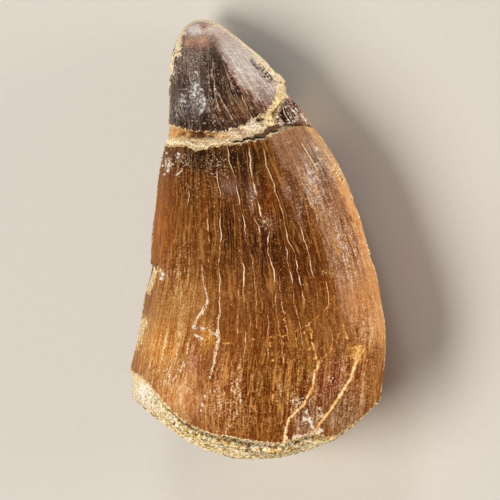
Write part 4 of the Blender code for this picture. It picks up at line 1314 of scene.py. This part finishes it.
def makeTip(look):
    columns = layColumns(crackRoutes(look), look["columns"])
    low = raggedMargin(margins["tipLow"], look["lowNick"])
    high = (np.array([-180.0, 180.0]), np.array([toothForm["length"]] * 2))
    # the rows lie closer together toward the point
    up = 1 - (1 - np.linspace(0, 1, look["rows"] + 1)) ** look["toPoint"]
    skin = plainSkin(columns, up, low, high)
    angle, height, seen = skin["angle"], skin["height"], skin["seen"]
    shown = seen * (1 - softStep(angle, *look["edgeFade"]))
    bare = bareLines(look, skin) * np.maximum(shown, softStep(height, *look["roundPoint"]))
    skin["nearEdge"] = np.maximum(bells(angle, look["wornEdges"]), bare)
    inward, crumb = skinRelief(look, columns, skin)
    # the relief fades toward the point
    fade = np.clip((toothForm["length"] - height) / look["pointFade"], 0.15, 1)
    side = placeOn(angle, height, inward=inward * fade)
    below, belowHeight = faceRows(angle[:1], height[:1], margins["tipLowMiddle"], look["capShares"])
    point = placeOn(angle[-1:], height[-1:], 0.0)
    places = np.concatenate([below, side, point])
    heights = np.concatenate([belowHeight, height, height[-1:]])
    lowRim = 0.5 * np.clip(1 - (height - height[:1]) / look["lowRim"], 0, 1)
    behind = (1 - seen) * softStep(height, *look["bareBehind"])
    wornPoint = 0.8 * np.maximum(behind, softStep(height, *look["barePoint"]))
    marks = enamelMarks(look, skin, crumb, np.maximum(np.maximum(lowRim, bare), wornPoint))
    marks = {mark: np.concatenate([values, values[-1:]]) for mark, values in marks.items()}
    marks = overFaces(marks, len(look["capShares"]), 0, 0.6)
    return weave("crownTip", places, columns["growth"], heights, marks)


print("crown tip")
tip = makeTip(tipLook)
dress(tip, "crown_tip", fossilEnamel("greyBrownEnamel", tipLook["enamel"]))


# Even columns round a piece of filling, closer together on the seen side.
def evenColumns(lay):
    around, steps = measureGirth(lay["girthHeight"])
    first, last = seenSpan["fine"]
    weight = np.where((around > first) & (around < last), 1 / lay["seenSpacing"], 1 / lay["hiddenSpacing"])
    count = np.concatenate(([0], np.cumsum(steps * weight[1:])))
    return np.interp(np.linspace(0, count[-1], int(count[-1])), count, around)


# Seam filling: sandy cream paste in the break, with pits and a sliver of brown enamel in it.
seamLook = {
    "columns": {"girthHeight": 26.0, "seenSpacing": 0.08, "hiddenSpacing": 0.25},
    "rows": 46,
    "capShares": (0.0, 0.4, 0.8, 0.94),
    # clear of the flake that lies over it: above it, and the angles beside it from nearer to farther
    "ledgeGap": 0.05,
    "flakeRoom": (0.4, 1.6),
    # how far it lies inside the tooth's surface, then lumps and grit in it as size and depth
    "inset": 0.12,
    "lumps": (0.45, 0.28),
    "grit": (0.2, 0.12),
    # pits: across, height, half width, half height and strength; the shadow mark paints shade in them
    "pits": (
        (0.25, 26.85, 0.24, 0.18, 1.6), (0.6, 26.92, 0.14, 0.14, 1.2), (-6.2, 25.85, 0.3, 0.14, 0.9),
        (-5.4, 25.62, 0.3, 0.14, 1.0), (-4.6, 25.55, 0.35, 0.15, 1.0), (-3.8, 25.55, 0.3, 0.12, 1.0),
        (-6.8, 26.2, 0.2, 0.1, 0.7), (-2.6, 25.5, 0.3, 0.1, 0.7),
    ),
    "pitDepth": 0.35,
    # bright lip along the body: its height by distance across, the size and share of its unevenness,
    # how far it stands out, and from where to where it comes to do so
    "lip": (
        (-7.2, 0.55), (-6.4, 0.34), (-5.7, 0.4), (-5.0, 0.24), (-4.4, 0.26), (-3.4, 0.16), (-1.0, 0.13),
        (3.4, 0.08),
    ),
    "lipRun": (0.5, 0.9),
    "lipRise": 0.1,
    "lipStands": (-0.5, -2.0),
    "lipColour": "#fff0c6",
    # the crack that stays open above the lip, its paste painted dark as shade: height, depth, and from
    # where to where it begins and ends
    "open": {"height": 0.13, "depth": 0.5, "begins": (-2.8, -1.6), "ends": (4.6, 5.2)},
    # sliver of brown enamel above that crack: its height by distance across, from where to where it
    # begins, and how far it lies inside the tooth's surface
    "sliver": ((-1.4, 0.0), (-0.6, 0.14), (0.4, 0.3), (1.3, 0.42), (1.9, 0.36), (2.15, 0.0)),
    "sliverBegins": (-1.4, -0.9),
    "sliverInset": 0.08,
    "sliverColour": "#6d4b36",
    # below the tip's overhanging corner on the right: angle, spread, depth and height
    "undercut": (-22.0, 20.0, 0.5, 1.5),
    "tintRun": (0.25, 0.1),
    "colours": {
        "ground": "#efd8ae",
        "zones": (
            ("#dfae62", -6.4, 26.0, 1.4, 0.6, 0.8),
            ("#a8642a", -4.9, 25.8, 2.1, 0.46, 0.95),
            ("#3f1b07", -4.4, 25.75, 1.5, 0.3, 1.0),
            ("#e8a850", -6.8, 25.8, 0.3, 0.25, 0.85),
            ("#f0c888", -5.7, 25.75, 0.2, 0.16, 0.8),
            ("#e6b468", -4.0, 25.75, 0.2, 0.12, 0.8),
            ("#d9a055", -2.8, 25.6, 0.7, 0.16, 0.85),
            ("#fff2d0", -1.4, 25.95, 1.5, 0.3, 0.85),
            ("#a63c1c", -1.35, 26.05, 0.42, 0.14, 0.95),
            ("#8b5426", -1.2, 25.75, 0.5, 0.14, 0.8),
            ("#fff6ea", -0.4, 26.5, 1.1, 0.42, 0.95),
            # pale cream paste, brightened as painted light against the shade under the tip's edge
            ("#ffe6a8", 1.2, 26.7, 0.6, 0.6, 0.95),
            # painted shade in the two deepest pits
            ("#20120a", 0.25, 26.85, 0.22, 0.17, 1.0),
            ("#2a1a12", 0.6, 26.92, 0.12, 0.12, 1.0),
            # pale cream paste, brightened as painted light against the shade under the tip's edge
            ("#ffe8ae", 1.7, 28.4, 0.8, 1.2, 0.95),
            ("#b9806a", 3.0, 28.6, 0.3, 0.5, 0.8),
        ),
        "behind": (("#cdb083", -90, 26.5, 90, 2, 0.5),),
    },
    "paste": {
        # sizes in mm: a grain, how far grains are bent out of shape and over what length, and the mottle
        "grain": 0.18,
        "bend": 0.25,
        "bendRun": 0.5,
        "fine": 0.14,
        "grainShow": 0.22,
        "mottle": 0.5,
        "patches": (0.6, 0.18),  # size and strength
        "pebble": 0.5,  # size of the larger grains
        "pebbleGate": 0.6,  # the higher, the fewer of them
        "pebbleColours": ((0.1, "#b98448"), (0.4, "#f0dcb4"), (0.8, "#fffaf0")),
        "grainColours": ((0.1, "#9a672c"), (0.3, "#d8ad6c"), (0.6, "#f3e2bb"), (0.9, "#fff6e2")),
        "gapStart": 0.64,  # as a share of a grain's size
        "gapShow": 0.6,
        "gapColour": "#6a3c18",
        "dotStart": 0.34,  # the higher, the more dark dots
        "dotShow": 0.7,
        "bump": 0.7,
    },
}


# What runs along the body's margin, from 0 to 1 and upward from it: lip, open crack and sliver.
def seamLines(look, across, fromBody, plain, seen):
    size, uneven = look["lipRun"]
    lipHeight = np.interp(across, *np.array(look["lip"]).T) * (1 + uneven * noiseOver(plain, size, 3))
    overLip = fromBody - lipHeight
    lip = softStep(overLip, 0.03, -0.03) * seen
    shadedCrack = look["open"]
    crack = softStep(overLip, -0.02, 0.03) * softStep(shadedCrack["height"] - overLip, -0.04, 0.03) * seen
    crack = crack * softStep(across, *shadedCrack["begins"]) * (1 - softStep(across, *shadedCrack["ends"]))
    reach = shadedCrack["height"] + np.interp(across, *np.array(look["sliver"]).T)
    sliver = softStep(reach - overLip, -0.03, 0.04) * (1 - lip) * (1 - crack)
    return lip, crack, sliver * softStep(across, *look["sliverBegins"]) * seen


# One where the filling steps back for the flake that lies over it.
def underFlake(look, angle, height):
    first, last = margins["flakeAngles"]
    near, far = look["flakeRoom"]
    beside = softStep(angle, first - far, first - near) * (1 - softStep(angle, last + near, last + far))
    ledge = through(margins["flakeTop"], angle) + look["ledgeGap"]
    return softStep(ledge - height, -0.03, 0.03) * beside


def makeSeam(look):
    angles = evenColumns(look["columns"])[None]
    low = np.interp(angles, *raggedMargin(margins["bodyTop"], bodyLook["topNick"])) - margins["overlap"]
    high = np.interp(angles, *raggedMargin(margins["tipLow"], tipLook["lowNick"])) + margins["overlap"]
    up = np.linspace(0, 1, look["rows"] + 1)[:, None]
    height = low * (1 - up) + high * up
    angle = angles + 0 * height
    plain = placeOn(angle, height)
    across, _ = seenAt(plain)
    seen = seenSide(angle)
    pits = spots(across, height, look["pits"]) * seen
    lip, crack, sliver = seamLines(look, across, height - low, plain, seen)
    inward = look["inset"] + hollows(plain, *look["lumps"], 3) + hollows(plain, *look["grit"], 2)
    inward += look["pitDepth"] * pits
    inward = inward * (1 - sliver) + look["sliverInset"] * sliver
    inward -= look["lipRise"] * lip * softStep(across, *look["lipStands"])
    inward += look["open"]["depth"] * crack
    middle, spread, depth, reach = look["undercut"]
    inward += depth * bell(angle, middle, spread) * (1 - softStep(high - height, 0.5 * reach, reach))
    inward += (margins["flakeDepth"] + look["ledgeGap"]) * underFlake(look, angles, height)
    side = placeOn(angle, height, inward=inward)
    shares = look["capShares"]
    below, belowHeight = faceRows(angle[:1], low, margins["bodyTopMiddle"], shares)
    above, aboveHeight = faceRows(angle[-1:], high, margins["tipLowMiddle"], shares[::-1])
    size, uneven = look["tintRun"]
    tint = paint(angle, across, height, look["colours"], uneven * noiseOver(plain, size, 2))
    tint = layOver(tint, look["sliverColour"], sliver)
    tint = layOver(tint, look["lipColour"], 0.9 * lip)
    # painted shade in the open crack
    tint = tint * (1 - 0.9 * crack[..., None])
    # dark stains and painted shade hide the pale grains
    darkened = 1.4 * (1 - tint.mean(-1) / linear(look["colours"]["ground"]).mean())
    smooth = np.clip(np.maximum(np.maximum(sliver, crack), np.maximum(0.8 * lip, darkened)), 0, 1)
    # the shadow mark is painted shade in the pits
    marks = {"tint": tint, "smooth": smooth, "shadow": np.clip(pits, 0, 1)}
    places = np.concatenate([below, side, above])
    heights = np.concatenate([belowHeight, height, aboveHeight])
    return weave("seamFill", places, angles, heights, overFaces(marks, len(shares), len(shares)))


print("seam filling")
seam = makeSeam(seamLook)
dress(seam, "seam_fill", cementedSand("sandyPaste", seamLook["paste"]))


# Base matrix: sandy rock that bulges out of the broken base, smoother where it lies against the left side.
rockLook = {
    "columns": {"girthHeight": 5.0, "seenSpacing": 0.13, "hiddenSpacing": 0.26},
    "domeRows": 120,
    "sideRows": 20,
    "capShares": (0.97, 0.8, 0.5, 0.0),
    # its share of the tooth's width, and the least distance from the ground
    "inset": 0.985,
    "clearance": 0.1,
    # relief of grains, as size and depth, the finer grit on them and the coarser lumps under them
    "grains": (0.34, 0.16),
    "grit": (0.2, 0.09),
    "lumps": (1.9, 0.24),
    # the smooth slab at the lower left: its middle and half width as angles, and from which height to
    # which it begins
    "slab": (122.0, 20.0),
    "slabBegins": (1.2, 2.6),
    # on the right the sand ends nearly level with the enamel: this fades toward the front between the
    # first two angles, and toward the back between the other two
    "flush": (24.0, 8.0),
    "flushBehind": (-80, -45),
    # dark pits and painted shade along the enamel: middle and spread below it, and how they thin out
    # to the right and to the left
    "pitted": {"middle": 0.3, "spread": 0.22, "right": (6.0, 8.0), "left": (-8.2, -6.8)},
    "tintRun": (0.5, 0.25),
    "colours": {
        "ground": "#efd092",
        "zones": (
            ("#e2d2b2", -8.6, 4.6, 2.0, 2.2, 0.95),
            ("#fffaf0", -8.9, 5.4, 0.7, 0.8, 0.8),
            ("#b08a5e", -9.4, 4.4, 0.25, 0.5, 0.9),
            ("#c79c6c", -8.9, 3.6, 0.3, 0.2, 0.8),
            ("#d79c82", -8.3, 3.7, 0.5, 0.2, 0.85),
            ("#a87848", -7.7, 3.05, 0.4, 0.2, 0.85),
            ("#cfa06c", -6.9, 2.9, 0.5, 0.2, 0.8),
            ("#a0835c", -8.0, 4.6, 0.2, 0.5, 0.6),
            ("#b8924e", -2.0, 1.0, 3.0, 0.7, 0.4),
            ("#ab884e", 4.0, 0.9, 3.0, 0.8, 0.5),
        ),
        "behind": (("#bd9f74", -90, 3, 60, 3, 0.6),),
    },
    "sand": {
        "grain": 0.21,
        "bend": 0.22,
        "bendRun": 0.5,
        "fine": 0.16,
        "grainShow": 0.75,
        "mottle": 0.45,
        "patches": (3.2, 0.2),
        "pebble": 1.0,
        "pebbleGate": 0.58,
        "pebbleColours": ((0.1, "#a9824c"), (0.35, "#e3cda0"), (0.8, "#fbf0d8")),
        "grainColours": (
            (0.06, "#5a3a12"), (0.16, "#d09c46"), (0.36, "#fadc92"), (0.62, "#fff3c4"),
            (0.95, "#fffef2"),
        ),
        "gapStart": 0.71,
        "gapShow": 0.9,
        "gapColour": "#4a2c0a",
        "dotStart": 0.41,
        "dotShow": 0.75,
        "bump": 0.6,
    },
}


# How far the sand lies inside its plain form. The slab is smoother, and the middle of the dome stays
# closed.
def rockRelief(look, places, slab, domeShare):
    size, depth = look["grains"]
    grains = depth * np.clip(grainsOver(places, size) * 1.5 - 0.35, 0, 1)
    inward = (hollows(places, *look["lumps"], 2) + grains) * (1 - slab)
    inward += hollows(places, *look["grit"], 2) * (1 - 0.45 * slab)
    caps = len(look["capShares"])
    inward[: look["domeRows"]] *= softStep(domeShare, 0.0, 0.03)
    inward[-caps:] = 0
    inward[-caps - 1] *= 0.3
    return inward


def makeRock(look):
    angles = evenColumns(look["columns"])[None]
    top = np.interp(angles, *raggedMargin(margins["base"], bodyLook["baseNick"])) + margins["overlap"]
    flush = softStep(angles, *look["flush"]) * softStep(angles, *look["flushBehind"])
    foot = through(margins["base"], angles) - through(margins["fillingStep"], angles) * (1 - 0.8 * flush)
    # the bulging dome, the side that meets the enamel, and the hidden face inside the crown
    domeShare = np.linspace(0, 1, look["domeRows"])[:, None] ** 0.9
    domeHeight = foot * domeShare ** margins["domePower"]
    dome = placeOn(angles + 0 * domeShare, domeHeight, domeShare * look["inset"])
    up = np.linspace(0, 1, look["sideRows"] + 1)[1:, None]
    sideHeight = foot * (1 - up) + top * up
    side = placeOn(angles + 0 * up, sideHeight, look["inset"])
    share = np.array(look["capShares"])[:, None] * look["inset"]
    capHeight = top * share**2 + margins["hollow"] * (1 - share**2)
    cap = placeOn(angles + 0 * share, capHeight, share)
    places = np.concatenate([dome, side, cap])
    heights = np.concatenate([domeHeight, sideHeight, capHeight])
    angle = angles + 0 * heights
    middle, half = look["slab"]
    slab = np.exp(-(((angle - middle) / half) ** 4)) * softStep(heights, *look["slabBegins"])
    slab[: look["domeRows"]] *= softStep(domeShare, 0.9, 0.99)
    places = pushOut(places, -rockRelief(look, places, slab, domeShare))
    places[..., 2] = np.maximum(places[..., 2], look["clearance"])
    places[..., 1] = np.maximum(places[..., 1], cadBounds[0][1] / mm)
    across, _ = seenAt(places)
    pitted = look["pitted"]
    # painted shade, in dark pits, just below the enamel's margin
    shadow = bell(top - heights, pitted["middle"], pitted["spread"])
    shadow *= (1 - softStep(across, *pitted["right"])) * (0.2 + 0.8 * softStep(across, *pitted["left"]))
    size, uneven = look["tintRun"]
    tint = paint(angle, across, heights, look["colours"], uneven * noiseOver(places, size, 3))
    marks = {"tint": tint, "smooth": 0.7 * slab, "shadow": shadow}
    return weave("baseMatrix", places, angles, heights, marks)


print("base matrix")
rock = makeRock(rockLook)
dress(rock, "base_matrix", cementedSand("limeCementedSand", rockLook["sand"]))


# Edge flake: a chip of dark enamel beside the break, with a reddish worn rim.
flakeLook = {
    "columns": 84,
    "rows": 40,
    # the open crack below it, how far its corners are drawn in, and how far its border drops
    "gap": 0.16,
    "corner": 0.3,
    "edgeDrop": 0.3,
    # unevenness, pits and the ragged upper edge, as size and depth
    "uneven": (0.5, 0.1),
    "pits": (0.22, 0.07),
    "ragged": (0.4, 0.1),
    "colours": {
        "ground": "#64402d",
        "zones": (
            ("#432a1c", 2.4, 27.3, 0.7, 0.9, 0.85),
            ("#c08a70", 3.75, 27.6, 0.4, 1.1, 0.95),
            ("#eed3b4", 4.3, 26.8, 0.25, 0.4, 0.8),
        ),
        "behind": (("#7d5d48", -20, 27.5, 10, 2, 0.6),),
    },
    "enamel": dict(
        tipLook["enamel"],
        speckGate=0.69,
        speckShow=0.9,
        speckColour="#e6d2ba",
        crustSpecks=0.1,
        clumpGate=0.9,
        specular=0.05,
    ),
}


def makeFlake(look):
    first, last = margins["flakeAngles"]
    side = np.linspace(-1, 1, look["columns"] + 1)[None]
    up = np.linspace(-1, 1, look["rows"] + 1)[:, None]
    # the corners are drawn in, so that the chip is rounded
    turn = side * (1 - look["corner"] * np.abs(up) ** 3 * (up > 0) * (side > 0))
    rise = up * (1 - look["corner"] * 0.6 * np.abs(side) ** 3 * (up > 0))
    angle = first + (last - first) * (turn + 1) / 2
    low = np.interp(angle, *raggedMargin(margins["bodyTop"], bodyLook["topNick"])) + look["gap"]
    high = through(margins["flakeTop"], angle)
    height = low + (high - low) * (rise + 1) / 2
    plain = placeOn(angle, height)
    size, depth = look["ragged"]
    height = height - depth * np.clip(noiseOver(plain, size), 0, 1) * (up > 0)
    border = np.maximum(np.abs(side), np.abs(up)) ** 10
    inward = look["edgeDrop"] * border + hollows(plain, *look["uneven"], 3)
    inward += hollows(plain, *look["pits"], 2)
    places = placeOn(angle, height, inward=inward)
    across, _ = seenAt(places)
    nothing = np.zeros(angle.shape)
    marks = {
        "tint": paint(angle, across, height, look["colours"]),
        "crack": nothing,
        "vein": nothing,
        "hair": 1.0 + nothing,
        "crust": 0.4 + nothing,
        "rim": np.clip((border - 0.5) * 1.2, 0, 0.55) * (up > -0.5),
    }
    inner = placeOn(angle, height, inward=margins["flakeDepth"] + nothing)
    return weave("edgeFlake", places, side * 3, height, marks, inner)


print("edge flake")
flake = makeFlake(flakeLook)
dress(flake, "edge_flake", fossilEnamel("chippedEnamel", flakeLook["enamel"]))


# Studio: a pale floor and surround, a broad soft light from the left, a smaller one from the right and
# a faint one from beyond the tip.
studio = {
    "floorSize": 1.2,
    "floorColour": "#d2cfca",
    "surround": "#e6e8ec",
    "surroundPower": 0.18,
    # right, up and toward the camera, in metres, then size, power and colour
    "lights": {
        "lowRight": ((0.34, 0.06, 0.3), 0.2, 1.5, "#fff3e4"),
        "overLeft": ((-0.42, -0.16, 0.26), 0.42, 2.8, "#fff6ea"),
        "front": ((-0.1, 0.34, 0.3), 0.16, 0.45, "#ffffff"),
    },
    # a long lens far away, so that the picture is nearly without perspective
    "lens": 800.0,
    "filmWidth": 36.0,
    "frameWidth": 39.4,
    # middle of the picture: across, height, and toward the camera
    "aim": (-0.55, 16.63, 9.0),
}


# The place in metres of a point given as the camera sees it.
def seenPlace(across, height, toward):
    place = seenRight * across + seenToward * toward + Vector((0.0, height, 0.0))
    return (place + Vector(rowShift)) * mm


def makeFloor(look):
    bm = bmesh.new()
    bmesh.ops.create_grid(bm, x_segments=8, y_segments=8, size=look["floorSize"] / 2)
    mesh = bpy.data.meshes.new("floor")
    bm.to_mesh(mesh)
    bm.free()
    floor = bpy.data.objects.new("floor", mesh)
    bpy.context.scene.collection.objects.link(floor)
    # matt card: fine fibres give it a faint tooth and hardly any shine
    material, tree, shader = newMaterial("mattCard")
    place = addNode(tree, "TexCoord", out="Object")
    fibre = addNode(tree, "TexNoise", {"Vector": place, "Scale": 1 / (0.6 * mm), "Detail": 3.0})
    pale = linear(look["floorColour"])
    tones = {0: fibre, 6: (*(pale * 0.97), 1), 7: (*(pale * 1.03), 1)}
    colour = addNode(tree, "Mix", tones, out=2, data_type="RGBA")
    tree.links.new(colour, shader.inputs["Base Color"])
    shader.inputs["Roughness"].default_value = 0.85
    mesh.materials.append(material)


def makeStudio(look):
    makeFloor(look)
    middle = seenPlace(*look["aim"])
    for name, (offset, size, power, colour) in look["lights"].items():
        lamp = bpy.data.lights.new(name, "AREA")
        lamp.shape = "DISK"
        lamp.size = size
        lamp.energy = power
        lamp.color = linear(colour)
        light = bpy.data.objects.new(name, lamp)
        right, up, toward = offset
        light.location = middle + seenRight * right + Vector((0, up, 0)) + seenToward * toward
        light.rotation_euler = (middle - light.location).to_track_quat("-Z", "Y").to_euler()
        bpy.context.scene.collection.objects.link(light)
    world = bpy.data.worlds.new("surround")
    world.use_nodes = True
    background = world.node_tree.nodes["Background"]
    background.inputs["Color"].default_value = (*linear(look["surround"]), 1.0)
    background.inputs["Strength"].default_value = look["surroundPower"]
    bpy.context.scene.world = world
    data = bpy.data.cameras.new("photoView")
    data.lens = look["lens"]
    data.sensor_width = look["filmWidth"]
    data.clip_start = 0.01
    camera = bpy.data.objects.new("photoView", data)
    away = look["frameWidth"] * look["lens"] / look["filmWidth"] * mm
    camera.location = middle + seenToward * away
    camera.rotation_euler = (0.0, roll, 0.0)
    bpy.context.scene.collection.objects.link(camera)
    bpy.context.scene.camera = camera
    bpy.context.scene.view_settings.view_transform = "Standard"


print("studio")
makeStudio(studio)

print("finished")
